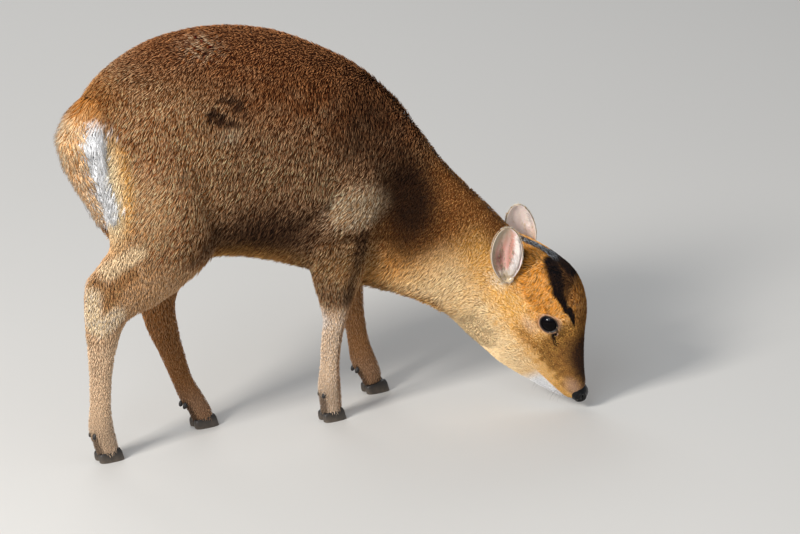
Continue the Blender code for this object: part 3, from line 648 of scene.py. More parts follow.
def ticking_group():
    """Varies a colour from hair to hair and over wider patches."""
    name = "Ticked colour"
    if name in bpy.data.node_groups:
        return bpy.data.node_groups[name]
    group, given, result = new_group(
        name,
        (("Colour", "NodeSocketColor", (0.5, 0.5, 0.5, 1.0)),
         ("Fine scale", "NodeSocketFloat", 900.0), ("Fine strength", "NodeSocketFloat", 0.5),
         ("Patch scale", "NodeSocketFloat", 38.0), ("Patch strength", "NodeSocketFloat", 0.18)),
        (("Colour", "NodeSocketColor"), ("Height", "NodeSocketFloat")))
    place = add_node(group, "ShaderNodeTexCoord")
    product = add_node(group, "ShaderNodeMath", operation="MULTIPLY")
    for index, (kind, detail) in enumerate((("Fine", 3.0), ("Patch", 2.0))):
        noise = add_node(group, "ShaderNodeTexNoise", {"Detail": detail})
        join(place, "Object", noise, "Vector")
        join(given, kind + " scale", noise, "Scale")
        centred = add_node(group, "ShaderNodeMath", {1: 0.5}, operation="SUBTRACT")
        join(noise, "Fac", centred, 0)
        scaled = add_node(group, "ShaderNodeMath", {2: 1.0}, operation="MULTIPLY_ADD")
        join(centred, 0, scaled, 0)
        join(given, kind + " strength", scaled, 1)
        join(scaled, 0, product, index)
        if kind == "Fine":
            join(noise, "Fac", result, "Height")
    scale = add_node(group, "ShaderNodeVectorMath", operation="SCALE")
    join(given, "Colour", scale, 0)
    join(product, 0, scale, "Scale")
    join(scale, "Vector", result, "Colour")
    return group


def grain_group():
    """Small pebbles or pores as a height, with fine noise over them."""
    name = "Pebbled skin"
    if name in bpy.data.node_groups:
        return bpy.data.node_groups[name]
    group, given, result = new_group(
        name,
        (("Scale", "NodeSocketFloat", 700.0), ("Noise", "NodeSocketFloat", 0.3)),
        (("Height", "NodeSocketFloat"),))
    place = add_node(group, "ShaderNodeTexCoord")
    cells = add_node(group, "ShaderNodeTexVoronoi", feature="SMOOTH_F1")
    noise = add_node(group, "ShaderNodeTexNoise", {"Detail": 4.0})
    for node in (cells, noise):
        join(place, "Object", node, "Vector")
        join(given, "Scale", node, "Scale")
    total = add_node(group, "ShaderNodeMath", operation="MULTIPLY_ADD")
    join(noise, "Fac", total, 0)
    join(given, "Noise", total, 1)
    join(cells, "Distance", total, 2)
    join(total, 0, result, "Height")
    return group


def new_material(name, roughness, specular=0.5, coat=0.0, coat_roughness=0.03):
    material = bpy.data.materials.new(name)
    material.use_nodes = True
    shader = material.node_tree.nodes["Principled BSDF"]
    for name, value in (("Roughness", roughness), ("Specular IOR Level", specular),
                        ("Coat Weight", coat), ("Coat Roughness", coat_roughness)):
        shader.inputs[name].default_value = value
    return material, shader


def add_bump(shader, source, out, strength, distance):
    bump = add_node(shader.id_data, "ShaderNodeBump", {"Strength": strength, "Distance": distance})
    join(source, out, bump, "Height")
    join(bump, "Normal", shader, "Normal")


def add_grain(shader, scale, strength):
    grain = add_node(shader.id_data, "ShaderNodeGroup", {"Scale": scale}, node_tree=grain_group())
    add_bump(shader, grain, "Height", strength, 0.0006)


def add_ticking(shader, values):
    """Ticking that feeds the shader's colour."""
    ticking = add_node(shader.id_data, "ShaderNodeGroup", values, node_tree=ticking_group())
    join(ticking, "Colour", shader, "Base Color")
    return ticking


def show_paint(shader, values):
    """Feed the painted colour, ticked, to the shader; gives the paint and the ticking."""
    source = add_node(shader.id_data, "ShaderNodeVertexColor", layer_name="Coat")
    ticking = add_ticking(shader, values)
    join(source, "Color", ticking, "Colour")
    return source, ticking


def painted_material(name, roughness, fine_scale, fine, patch, bump, specular=0.3):
    """Fur or skin that takes its colour from the painted points."""
    if name in bpy.data.materials:
        return bpy.data.materials[name]
    material, shader = new_material(name, roughness, specular)
    _, ticking = show_paint(shader, {
        "Fine scale": fine_scale, "Fine strength": fine, "Patch strength": patch})
    if bump:
        add_bump(shader, ticking, "Height", bump, 0.001)
    return material


def fur_material():
    return painted_material("Fur", 0.62, 1400.0, 0.35, 0.2, 0.0, specular=0.10)


# The markings and the lie of the coat, in the forms' coordinates
UNDERLINE = np.array(metres((
    (-300, 345), (-250, 254), (-205, 238), (-110, 227), (-60, 214),
    (15, 186), (43, 173), (90, 158), (149, 140), (206, 112))))


def over_belly(points):
    return points[:, 2] - np.interp(points[:, 0], UNDERLINE[:, 0], UNDERLINE[:, 1])


def tear_width(head_x):
    """Half width of the dark slit, wide at the eye's corner."""
    return np.interp(head_x, (-0.0925, -0.0815, -0.0710), (0.0040, 0.0026, 0.0009))


def head_share(points):
    """0 on the neck, 1 on the head."""
    head = in_head(points)
    depth = (head - POLL_PLANE[0]) @ np.array(POLL_PLANE[1])
    return ramp(-0.038, 0.022, depth) * ramp(0.13, 0.16, points[:, 0])


def neck_share(points):
    return ramp(-0.045, 0.045, (points - (0.120, -0.015, 0.290)) @ (0.62, -0.38, -0.68))


def tail_size(heights):
    """Middle, half thickness and half width of the haired tail at each height."""
    rows = np.array(TAIL)
    return (np.interp(-heights, -rows[:, 1], rows[:, column]) for column in (0, 2, 3))


def tail_share(points):
    """1 on the tail's core and none on the rump beside it."""
    x, thick, width = tail_size(points[:, 2])
    away = np.hypot((points[:, 0] - x) / (thick * 0.75),
                    (points[:, 1] - TAIL_SWING) / (width * 0.65))
    tall = ramp(0.446, 0.430, points[:, 2]) * ramp(0.270, 0.280, points[:, 2])
    return (1 - ramp(0.95, 1.15, away)) * tall


def white_beside_tail(points):
    """1 on the white strip of the buttock next to the tail."""
    edge = np.interp(points[:, 2], (0.300, 0.313, 0.325, 0.337, 0.356, 0.376, 0.416),
                     (0.044, 0.058, 0.063, 0.060, 0.052, 0.043, 0.037))
    edge = edge * (1 - 0.2 * ramp(0.0, 0.02, points[:, 1]))
    out = np.abs(points[:, 1]) + 0.0045 * ripple(points, 0.009, 23)
    across = ramp(0.004, -0.001, out - edge)
    tall = ramp(0.440, 0.424, points[:, 2] + 0.4 * out) * ramp(
        0.296, 0.306, points[:, 2] - 0.7 * np.maximum(out - 0.044, 0.0))
    return across * tall * ramp(-0.262, -0.272, points[:, 0])


def tail_place(down, turn, share):
    """Points down the tail and round it, at a share of the way out to the hair's tips."""
    rows = np.array(TAIL)
    place = np.clip(down, 0.0, 1.0) * (len(TAIL) - 1)
    x, z, thick, width = (
        np.interp(place, np.arange(len(TAIL)), rows[:, column]) for column in range(4))
    right = np.maximum(0.0, -np.sin(turn)) * share
    low = ramp(0.35, 0.85, down)
    width = np.maximum(width, 0.017 * low)
    thick = np.maximum(thick, 0.009 * low)
    spread = RIGHT_SPREAD[0] + (RIGHT_SPREAD[1] - RIGHT_SPREAD[0]) * low
    forward = RIGHT_FORWARD[0] + (RIGHT_FORWARD[1] - RIGHT_FORWARD[0]) * low
    return np.stack((
        x - thick * share * np.cos(turn) + forward * right,
        TAIL_SWING + width * share * np.sin(turn) * (1 + spread * right),
        z - np.maximum(down - 1.0, 0.0) * 0.06), axis=1)


def clear_of_neck(points):
    """1 on the legs and under the trunk, 0 under the neck and the head."""
    return 1 - ramp(0.10, 0.14, points[:, 0]) * ramp(0.095, 0.125, points[:, 2])


def leg_share(points):
    below = ramp(0.022, -0.025, over_belly(points))
    return below * (1 - head_share(points)) * clear_of_neck(points)


def folded_side(points):
    """Points with the left side laid over the right one."""
    return mirrored(points) * (1.0, -1.0, 1.0)


# Creases of the hide: in front of the elbow, under the shoulder, before the thigh
FOLDS = (
    ((-52, -75, 268), (-30, -78, 279), (-6, -78, 288)),
    ((-12, -73, 243), (22, -73, 240), (50, -70, 236), (92, -69, 229)),
    ((-154, -69, 278), (-168, -73, 262), (-186, -74, 248)),
)
HIGHLIGHT = (36, -74, 283)
# Rubbed places where the hair is parted, with pale hair under the second
RUBS = (
    ((-146, -69, 441), (-131, -69, 436), (-116, -70, 424)),
    ((-161, -70, 422), (-146, -73, 417), (-131, -75, 411)),
)


# Strokes of colour round the hock: places, half width, strength, middle and tip colour
HOCK_MARKS = (
    (((-290, -53, 248), (-277, -61, 257), (-261, -74, 270)), 11, 0.75, "cream", "cream"),
    (((-306, -52, 230), (-296, -58, 206), (-284, -61, 229), (-267, -67, 244)),
     9.5, 0.55, "neck", "gold"),
    (((-309, -49, 214), (-311, -48, 186)), 12, 0.9, "cream", "white"),
    (((-283, -56, 194), (-299, -54, 180)), 12, 0.8, "cream", "white"),
)


def fold_share(points):
    """1 in the creases of the hide."""
    reach = np.min([off_line(folded_side(points), fold) for fold in FOLDS], axis=0)
    return np.exp(-(reach / 0.0075) ** 2)


def lie_of_coat(points, normals):
    """The way the hair points at each place, along the skin."""
    head = head_share(points)
    flow = rows_of((-0.55, 0.0, -0.83), len(points))
    flow = blend_in(flow, (-0.97, 0.0, -0.25), ramp(0.25, 0.9, normals[:, 2]))
    flow = blend_in(flow, (-0.20, 0.0, -1.0), ramp(-0.235, -0.30, points[:, 0]))
    shoulder = inside(folded_side(points), HIGHLIGHT, (60, 60, 50))
    flow = blend_in(flow, (-0.80, 0.0, -0.60), shoulder)
    flow = blend_in(flow, (-0.72, -0.05, -0.68), neck_share(points) * 0.8)
    flow = blend_in(flow, (-0.12, 0.0, -1.0), leg_share(points))
    flow = blend_in(flow, (-0.35, 0.0, -0.94), tail_share(points))
    place = in_head(points)
    face = rows_of((-1.0, 0.0, -0.22), len(points))
    face[:, 1] = np.sign(place[:, 1]) * 0.10
    face = blend_in(face, (-1.0, 0.0, 0.0), ramp(0.03, 0.06, place[:, 2]))
    face = blend_in(face, (-0.75, 0.0, -0.8), ramp(-0.02, -0.05, place[:, 2]))
    brow = inside(np.abs(place), (138, 34, 54), (36, 24, 30))
    outward = np.stack((np.full(len(points), 0.35), 0.45 * np.sign(place[:, 1]),
                        np.full(len(points), -0.85)), axis=1)
    face = blend_in(face, outward, brow)
    flow = blend_in(flow, np.zeros(3), head) + from_head(face) * head[:, None]
    swirl = np.stack([ripple(points, 0.024, seed) for seed in (3, 4, 5)], axis=1)
    broad = np.stack([ripple(points, 0.060, seed) for seed in (6, 7, 8)], axis=1)
    return along_skin(flow + swirl * 0.10 + broad * 0.12, normals)


def markings(points, normals):
    """Middle and tip colour of the coat at each place."""
    coat = bpy.context.scene.muntjac_coat
    x, z = points[:, 0], points[:, 2]
    place = in_head(points)
    over = over_belly(points)
    folded = folded_side(points)
    wander = ripple(points, 0.030, 21) * 0.006
    count = len(points)
    middle = rows_of(coat.flank, count)
    tip = rows_of(coat.flank_tip, count)

    def lay(mask, new_middle, new_tip):
        nonlocal middle, tip
        middle = blend_in(middle, new_middle, mask)
        tip = blend_in(tip, new_tip, mask)

    high = ramp(0.36, 0.47, z + wander * 3 + (x + 0.1) * 0.35)
    lay(high, coat.back, coat.back_tip)
    lay(ramp(-0.10, -0.24, x) * ramp(0.50, 0.42, z), coat.haunch, coat.haunch_tip)
    lay(inside(folded, (-262, -60, 316), (50, 50, 50), 0.6) * 0.8,
        coat.tan, coat.cream)
    # Painted shade on the lower flank
    lay(inside(folded, (-90, -75, 262), (75, 60, 42), 0.7) * 0.95,
        coat.shade, coat.shade_tip)
    # Darker shoulder top: partly dark mottling of the coat, partly painted shade on the side turned
    # from the light
    lay(inside(folded, (60, -50, 375), (52, 60, 52), 0.7) * 0.65,
        coat.shade, coat.shade_tip)
    lay(neck_share(points) * 0.85, coat.neck, coat.neck_tip)
    neck_low = neck_share(points) * ramp(0.085, 0.020, over)
    lay(neck_low, coat.neck_tip, (np.array(coat.gold) + np.array(coat.cream)) / 2)
    # Painted shadow that the shoulder casts on the neck
    lay(inside(folded, (108, -70, 285), (36, 60, 70), 0.6) * 0.95,
        np.array(coat.shade) * 0.6, coat.shade)
    # Painted highlight: a pale patch where the light falls on the shoulder's bulge
    patch = inside(folded, HIGHLIGHT, (44, 45, 27), 0.4)
    patch = patch * ramp(-0.006, 0.006, z - 0.243 + wander * 0.5)
    lay(patch, coat.fawn, coat.fawn_tip)
    # Painted shade in the creases of the hide
    lay(fold_share(points) * 0.9, coat.shade, coat.shade)
    clumps = 0.55 + 0.45 * ripple(points, 0.0075, 22)
    for rub, strength in zip(RUBS, (0.90, 1.00)):
        across = off_line(points + wander[:, None] * 0.4, rub)
        lay(ramp(0.0105, 0.0050, across) * np.clip(clumps * 1.5, 0.0, 1.0) * strength,
            coat.bridge, coat.shade)
    lay(inside(points, (-136, -77, 399), (14, 12, 8), 0.7) * 0.75,
        coat.fawn, coat.fawn_tip)
    by_head = ramp(-0.275, -0.215, place[:, 0]) * neck_share(points)
    lay(by_head * ramp(0.034, 0.010, place[:, 2]), coat.gold, coat.cream)
    lay(by_head * ramp(0.004, -0.034, place[:, 2]),
        (np.array(coat.gold) + 2 * np.array(coat.cream)) / 3, coat.cream)
    lay(ramp(-0.30, -0.85, normals[:, 2]) * ramp(0.05, 0.0, over) * ramp(
        -0.04, -0.02, over), coat.speckle, coat.gold)
    rub = inside(points, (-152, -33, 497), (27, 20, 20), 0.7)
    lay(rub * (0.25 + 0.5 * ripple(points, 0.006, 24)), coat.fawn, coat.fawn_tip)
    dock = inside(points, (-290, 0, 446), (34, 60, 30), 0.6)
    lay(dock * 0.75, coat.neck, coat.neck_tip)

    leg = leg_share(points)
    lay(leg, coat.tan, coat.pale_leg)
    hind = leg * ramp(-0.06, -0.10, x)
    fore = leg * (1 - ramp(-0.06, -0.10, x))
    near = ramp(0.0, -0.01, points[:, 1])
    lay(hind * near * ramp(0.19, 0.14, z) * 0.8, coat.pale_leg, coat.cream)
    for line, reach, strength, new_middle, new_tip in HOCK_MARKS:
        spread = off_line(folded, line) * 1000 / reach
        lay(near * ramp(1.4, 0.6, spread + wander * 25) * strength,
            getattr(coat, new_middle), getattr(coat, new_tip))
    lay(hind * near * ramp(-0.296, -0.284, x) * ramp(0.125, 0.10, z) * 0.7,
        coat.pale_leg, coat.white)
    lay(hind * (1 - near) * 0.8, coat.neck, coat.tan)
    # Painted shade on the upper near foreleg
    lay(inside(folded, (22, -55, 205), (50, 40, 50), 0.5) * 0.6,
        coat.brown_leg, coat.haunch_tip)
    lay(fore * near * ramp(0.135, 0.170, z) * 0.7, coat.brown_leg, coat.haunch_tip)
    lay(fore * ramp(0.165, 0.13, z) * near, coat.pale_leg, coat.white)
    lay(fore * (1 - near) * 0.6, coat.neck, coat.tan)
    lay(inside(folded, (-1, -36, 136), (9, 16, 14), 0.7) * 0.45,
        coat.white, coat.white)
    front = ramp(0.20, 0.60, normals[:, 0])
    lay(fore * front * near * 0.7, coat.haunch, coat.neck_tip)
    # Painted shade along the crease in front of the foreleg
    chest = ((46, -66, 244), (40, -67, 205), (30, -57, 165))
    lay(ramp(0.016, 0.006, off_line(folded, chest)) * 0.75, coat.shade, coat.shade_tip)
    lay(leg * ramp(0.070, 0.030, z) * 0.4, coat.dusty, coat.pale_leg)
    lay(leg * ramp(-0.3, -0.8, normals[:, 0]) * ramp(0.045, 0.030, z) * 0.7,
        coat.bridge, coat.dusty)

    seat = inside(folded, (-286, -52, 340), (26, 32, 62), 0.4)
    lay(seat, coat.gold, coat.cream)
    lay(seat * ramp(-0.266, -0.280, x), coat.cream, coat.cream)
    lay(white_beside_tail(points) * (1 - tail_share(points)), coat.white, coat.white)
    tail = tail_share(points)
    lay(tail, coat.orange, coat.gold)
    edge = ramp(0.55, 0.85, np.abs(points[:, 1] - TAIL_SWING) / np.interp(
        -z, [-row[1] for row in TAIL], [row[3] for row in TAIL]))
    lay(tail * edge, coat.cream, coat.white)
    lay(tail * ramp(0.2, 0.7, normals[:, 0]), coat.white, coat.white)

    head = head_share(points)
    if head.max() > 0:
        middle, tip = head_markings(middle, tip, place, head, coat)
    return middle, tip


# The camera's upward direction in the head's own frame, on the side laid over to the left
UPRIGHT = np.array((-0.816, -0.358, 0.454))


def head_markings(middle, tip, place, head, coat):
    """The face, in the head's own frame: gold cheeks, dark bands, pale jaw."""
    side = np.abs(place[:, 1])
    folded = mirrored(place)
    hx, hz = place[:, 0], place[:, 2]
    over_mouth = hz - np.interp(hx, (-0.100, -0.047, 0.004), (-0.030, -0.0225, -0.0125))
    streak = ripple(folded - 0.75 * (folded @ UPRIGHT)[:, None] * UPRIGHT, 0.0030, 41)
    mottle = ripple(place, 0.012, 42) * 0.004

    def lay(mask, new_middle, new_tip):
        nonlocal middle, tip
        middle = blend_in(middle, new_middle, mask * head)
        tip = blend_in(tip, new_tip, mask * head)

    lay(np.ones(len(hx)), coat.gold, coat.cream)
    brow = ramp(0.008, 0.034, hz + mottle) * ramp(-0.080, -0.110, hx)
    lay(brow, coat.orange, (np.array(coat.gold) + np.array(coat.cream)) / 2)
    lay(brow * ramp(0.45, 0.95, streak) * 0.5, coat.bridge, coat.russet)
    lay(inside(folded, (-215, 40, 15), (30, 30, 30), 0.4), coat.gold, coat.cream)
    lay(ramp(-0.004, -0.036, hz + mottle), (np.array(coat.gold) + 3 * np.array(coat.cream)) / 4,
        coat.cream)
    muzzle = ramp(-0.100, -0.078, hx) * ramp(-0.016, 0.002, hz + mottle)
    lay(muzzle, coat.speckle, coat.gold)
    lay(muzzle * ramp(0.5, 0.95, streak) * 0.45, coat.bridge, coat.russet)
    lay(inside(folded, (-111, 36, 7), (12, 10, 7), 0.9) * 0.6,
        coat.pink, coat.cream)
    lay(inside(folded, (-100, 34, -6), (18, 14, 8), 0.7) * 0.7,
        coat.speckle, coat.orange)
    lay(inside(folded, (-36, 0, 30), (56, 20, 22), 0.4), coat.bridge, coat.russet)
    crown = ramp(0.029, 0.023, side) * ramp(0.045, 0.055, hz) * ramp(
        -0.060, -0.080, hx) * ramp(-0.172, -0.150, hx)
    lay(crown * (0.75 + 0.25 * streak), coat.russet, coat.speckle)
    lay(crown * ramp(-0.100, -0.135, hx) * 0.6, coat.bridge, coat.russet)
    arm = ((-164, 18, 72), (-148, 22, 70), (-132, 29, 63),
           (-104, 26.2, 58), (-83, 22.5, 51), (-74.5, 20.5, 47))
    band = np.interp(hx, (-0.165, -0.150, -0.130, -0.100, -0.074),
                     (0.0100, 0.0100, 0.0060, 0.0038, 0.0014))
    lay(ramp(1.2, 0.8, off_line(folded, arm) / band + streak * 0.06),
        coat.black, coat.bridge)
    stripe = ((-225, 0, 40), (-200, 0, 53), (-178, 0, 66),
              (-150, 0, 78), (-138, 0, 80))
    wide = np.interp(hx, (-0.230, -0.200, -0.172, -0.150), (0.0062, 0.0074, 0.0086, 0.0125))
    dark = ramp(1.2, 0.8, off_line(folded, stripe) / wide)
    lay(dark, coat.black, coat.bridge)
    # Painted sheen on the crown part of the black stripe
    lay(dark * ramp(-0.152, -0.165, hx), coat.black, coat.crown_grey)
    lay(inside(folded, (-192, 26, 46), (9, 8, 14), 0.5) * 0.9,
        coat.black, coat.bridge)
    lay(inside(folded, (-134, 16, 72), (14, 16, 14), 0.5) * 0.65,
        coat.black, coat.bridge)
    lip = ramp(0.013, 0.004, over_mouth + mottle) * ramp(-0.070, -0.045, hx)
    lay(lip * (0.45 + 0.45 * ramp(-0.034, -0.018, hx)), coat.gold, coat.cream)
    lay(inside(folded, (-12, 15, 1), (12, 9, 8), 0.8) * 0.5,
        coat.pink, coat.cream)
    lay(inside(folded, (-183, 44, 8), (14, 14, 11), 0.7) * 0.8,
        coat.cream, coat.white)
    lay(ramp(0.0, -0.0015, over_mouth) * ramp(-0.060, -0.040, hx),
        coat.white, coat.white)
    ring = np.linalg.norm(folded - np.array(EYE_PLACE), axis=1)
    above_eye = ramp(-0.004, 0.006, hz - EYE_PLACE.z)
    in_front = ramp(-0.102, -0.090, hx)
    lay(ramp(0.0195, 0.0160, ring) * (0.25 + 0.45 * above_eye) * (1 - 0.6 * in_front),
        coat.pink, coat.cream)
    lay(ramp(0.0030, 0.0014, off_line(folded, TEAR_SKIN)), coat.pink, coat.pink)
    lay(ramp(1.3, 0.7, off_line(folded, TEAR_LINE) / tear_width(hx)),
        coat.black, coat.black)
    mouth = off_line(folded, MOUTH)
    lay(ramp(0.0014, 0.0005, mouth) * 0.8, coat.bridge, coat.bridge)
    return middle, tip


# The skin: how far its neck seam is evened out, how deep its folds and how dark it is
SEAM_REACH = 0.016
SEAM_ROUNDS = 90
FOLD_DEPTH = 0.0045
SKIN_SHADE = 0.62


def trunk_form(rows):
    sections = []
    for row in smooth_rows(rows, 5):
        high, low = Vector(row[0:3]), Vector(row[3:6])
        turn = math.radians(row[7])
        across = Vector((math.sin(turn), math.cos(turn), 0.0))
        sections.append(section(high, low, low.lerp(high, 0.46), across, row[6], 36, 2.25, 0.10))
    return loft("trunk_form", sections)


def skull_forms():
    sections = []
    for x, high, low, width, widest in smooth_rows(HEAD, 5):
        sections.append(section(
            Vector((x, 0, high)), Vector((x, 0, low)), Vector((x, 0, widest)),
            Vector((0, 1, 0)), width, 36, 2.25, -0.05))
    forms = [loft("head_form", sections)]
    forms += [ball("cheek_form", (x, side * y, z), radii, 36, 22)
              for (x, y, z), radii in SWELLINGS for side in (1, -1)]
    for item in forms:
        item.data.transform(head_matrix())
    return forms


def leg_form(stations):
    sections = []
    for front_x, front_z, back_x, back_z, y, width in smooth_rows(stations, 5):
        front = Vector((front_x, y, front_z))
        back = Vector((back_x, y, back_z))
        sections.append(section(
            front, back, back.lerp(front, 0.5), Vector((0, 1, 0)), width, 24, 2.1, 0.08))
    return loft("leg_form", sections)


def tail_form(share):
    """The tail's flesh, a share of the thickness and width of the haired tail."""
    sections = []
    for x, z, thickness, width in smooth_rows(TAIL, 3):
        back = Vector((x - thickness * share, TAIL_SWING, z))
        front = Vector((x + thickness * share, TAIL_SWING, z))
        sections.append(section(
            front, back, back.lerp(front, 0.5), Vector((0, 1, 0)), width * share, 18, 2.2, 0.0))
    return loft("tail_form", sections)


def sink(item, depth_at):
    """Move the skin in under the coat."""
    points = coordinates(item.data)
    set_coordinates(item.data, points - vertex_normals(item.data) * depth_at(points)[:, None])


def coat_depth(points):
    skin = bpy.context.scene.muntjac_skin
    leg = ramp(0.06, -0.06, over_belly(points))
    depth = skin.body_depth + (skin.leg_depth - skin.body_depth) * leg
    depth = depth * (1 - tail_share(points))
    head = head_share(points)
    return depth + (skin.head_depth - depth) * head


def sculpt_head(item):
    """Lips, mouth line, tear slit, brow and the hollow in front of the eye."""
    item.data.transform(head_matrix().inverted())
    points = coordinates(item.data)
    normals = vertex_normals(item.data)
    folded = mirrored(points)
    mouth = off_line(folded, MOUTH)
    rise = -0.0018 * np.exp(-(mouth / 0.0012) ** 2)
    rise += 0.0007 * np.exp(-((mouth - 0.0045) / 0.0024) ** 2)
    tear = off_line(folded, TEAR_LINE)
    rise += -0.0026 * np.exp(-(tear / 0.0014) ** 2)
    rise += 0.0007 * np.exp(-((tear - 0.0036) / 0.0016) ** 2)
    rise += 0.0018 * inside(folded, (-110, 33, 46), (20, 12, 8), 0.6)
    rise += -0.0016 * inside(folded, (-62, 26, 12), (22, 14, 10), 0.7)
    rise += 0.0012 * inside(folded, (-60, 27, -6), (34, 14, 6), 0.7)
    rise += 0.0010 * inside(folded, (-14, 14, 4), (10, 10, 8), 0.7)
    set_coordinates(item.data, points + normals * rise[:, None])
    for side in (1, -1):
        centre = EYE_PLACE.copy()
        centre.y *= side
        socket = ball("socket", centre, (EYE_RADIUS + 0.0002,) * 3, 40, 26)
        boolean(item, socket, "DIFFERENCE", "MANIFOLD")
        boolean(item, eye_opening(side, 1.06), "DIFFERENCE", "MANIFOLD")
    keep_largest(item)
    item.data.transform(head_matrix())


def almond(angle, size):
    """How far along and up from the eye's centre the lids' opening lies, at an angle round it."""
    long_way = math.cos(angle) * EYE_OPENING[0] * size
    short_way = math.sin(angle) * EYE_OPENING[1] * size
    return (long_way * math.cos(EYE_TILT) - short_way * math.sin(EYE_TILT),
            long_way * math.sin(EYE_TILT) + short_way * math.cos(EYE_TILT))


def eye_opening(side, size):
    """A flaring almond-shaped plug that opens the lids."""
    sections = []
    for depth, flare in ((0.3, 0.9), (0.7, 0.96), (1.25, 1.10), (1.8, 1.3)):
        ring = []
        for index in range(36):
            x, z = almond(2 * math.pi * index / 36, flare * size)
            ring.append(Vector((EYE_PLACE.x + x, side * (EYE_PLACE.y + depth * EYE_RADIUS),
                                EYE_PLACE.z + z)))
        sections.append(ring)
    return loft("eye_opening", sections)


def unwrap(item):
    """Lay the skin out flat in a map named OFBake."""
    for other in bpy.context.selected_objects:
        other.select_set(False)
    bpy.context.view_layer.objects.active = item
    item.select_set(True)
    item.data.uv_layers.new(name="OFBake")
    bpy.ops.object.mode_set(mode="EDIT")
    bpy.ops.mesh.select_all(action="SELECT")
    bpy.ops.uv.smart_project(angle_limit=math.radians(66), island_margin=0.002)
    bpy.ops.object.mode_set(mode="OBJECT")
    item.select_set(False)


class MUNTJAC_OT_skin(bpy.types.Operator):
    """Build one skin over trunk, neck, head, legs and the tail's core"""
    bl_idname = "muntjac.skin"
    bl_label = "Skin"

    def execute(self, context):
        settings = context.scene.muntjac_skin
        trunk = trunk_form(TRUNK)
        skull = skull_forms()
        legs = [leg_form(stations) for stations in LEGS.values()]
        skin = fuse("skin", [trunk, tail_form(TAIL_CORE)] + skull + legs, settings.body_voxel, 8)
        neck = trunk_form(TRUNK[NECK_FROM:])
        head = fuse("skin_head", [neck] + skull, settings.head_voxel, 14)
        for item in list(bpy.data.objects):
            if "_form" in item.name:
                clear_work(item)
        sink(skin, lambda points: coat_depth(points) + FOLD_DEPTH * fold_share(points))
        sink(head, coat_depth)
        point = head_matrix() @ POLL_PLANE[0]
        normal = (head_matrix().to_3x3() @ POLL_PLANE[1]).normalized()
        slice_off(head, point, -normal)
        slice_off(skin, point + normal * 0.0006, normal)
        sculpt_head(head)
        boolean(skin, head, "UNION", "MANIFOLD")
        keep_largest(skin)
        soften_seam(skin, point, normal, SEAM_REACH, SEAM_ROUNDS)
        unwrap(skin)
        points = coordinates(skin.data)
        middle, _ = markings(points, vertex_normals(skin.data))
        paint(skin.data, middle * SKIN_SHADE)
        material = painted_material("Skin under the coat", 0.8, 700.0, 0.6, 0.2, 0.5)
        finish_piece(skin, material, FLESH)
        return {"FINISHED"}


# The coat
def skin_patches(skin):
    """Arrays of the skin's triangles: corners, normals, flat map and area."""
    mesh = skin.data
    mesh.calc_loop_triangles()
    corner, loops = (read_values(mesh.loop_triangles, name, 3, np.int64)
                     for name in ("vertices", "loops"))
    flat = read_values(mesh.uv_layers["OFBake"].data, "uv", 2)
    points = coordinates(mesh) - np.array(SHIFT)
    spots = points[corner]
    area = 0.5 * np.linalg.norm(
        np.cross(spots[:, 1] - spots[:, 0], spots[:, 2] - spots[:, 0]), axis=1)
    return {"spots": spots, "normals": vertex_normals(mesh)[corner],
            "flat": flat[loops], "area": area,
            "middle": spots.mean(axis=1)}


def roots_on(patches, weight, count, draw):
    """Evenly strewn places on the skin, as many as asked, where the weight allows."""
    share = np.cumsum(patches["area"] * weight)
    marks = (np.arange(count) + draw.random(count)) / count * share[-1]
    face = np.minimum(np.searchsorted(share, marks), len(share) - 1)
    first, second = draw.random(count), draw.random(count)
    flip = first + second > 1
    first[flip], second[flip] = 1 - first[flip], 1 - second[flip]
    part = np.stack((1 - first - second, first, second), axis=1)[:, :, None]
    return ((patches["spots"][face] * part).sum(axis=1),
            unit((patches["normals"][face] * part).sum(axis=1)),
            (patches["flat"][face] * part).sum(axis=1))


def flat_places(skin, places):
    """The flat map's place of the skin's point nearest to each of the given places."""
    mesh = skin.data
    layer = mesh.uv_layers["OFBake"].data
    result = []
    for place in places:
        _, nearest, _, index = skin.closest_point_on_mesh(Vector(place) + SHIFT)
        face = mesh.polygons[index]
        corners = [mesh.vertices[vertex].co for vertex in face.vertices]
        weights = interpolate.poly_3d_calc(corners, nearest)
        spot = Vector((0.0, 0.0))
        for loop, weight in zip(face.loop_indices, weights):
            spot += layer[loop].uv * weight
        result.append(spot)
    return np.array(result)


# The faces and the flat map of one tuft, and how many tufts keep a piece under 200,000 faces
TUFTS_PER_PIECE = 32500
TUFT_FACES = np.array((
    (1, 2, 0), (3, 1, 0), (2, 3, 0), (2, 1, 4), (1, 3, 4), (3, 2, 4)))
TUFT_MAP = np.array(((0.0, -1.0), (-0.5, 0.0), (0.5, 0.0), (0.0, 0.1), (0.0, 1.0)))


def tufts_through(base, bend, end, side, normals, width, flat, colours):
    """Corner points, map places and colours of three-sided tufts: root, bend and tip."""
    width = width[:, None]
    points = np.stack((
        base, bend - side * width * 0.5, bend + side * width * 0.5,
        bend + normals * width * 0.45, end), axis=1)
    spread = np.clip(flat[:, None, :] + TUFT_MAP[None] * 0.0015, 0.0, 1.0)
    root, middle, tip = colours
    # The bend's two side corners are painted darker, as painted shade between the tufts
    shades = np.stack((root, middle * 0.7, middle * 0.7, middle, tip), axis=1)
    return points, spread, shades


def tufts_along(roots, normals, lie, flat, length, width, lift, sunk, colours):
    """Tufts that rise from their roots and bend over along the lie of the coat."""
    side = np.cross(lie, normals)
    length, lift = length[:, None], lift[:, None]
    bend = roots + lie * length * 0.46 + normals * lift * 0.72
    end = roots + lie * length + normals * lift
    return tufts_through(roots - normals * sunk, bend, end, side, normals, width, flat, colours)


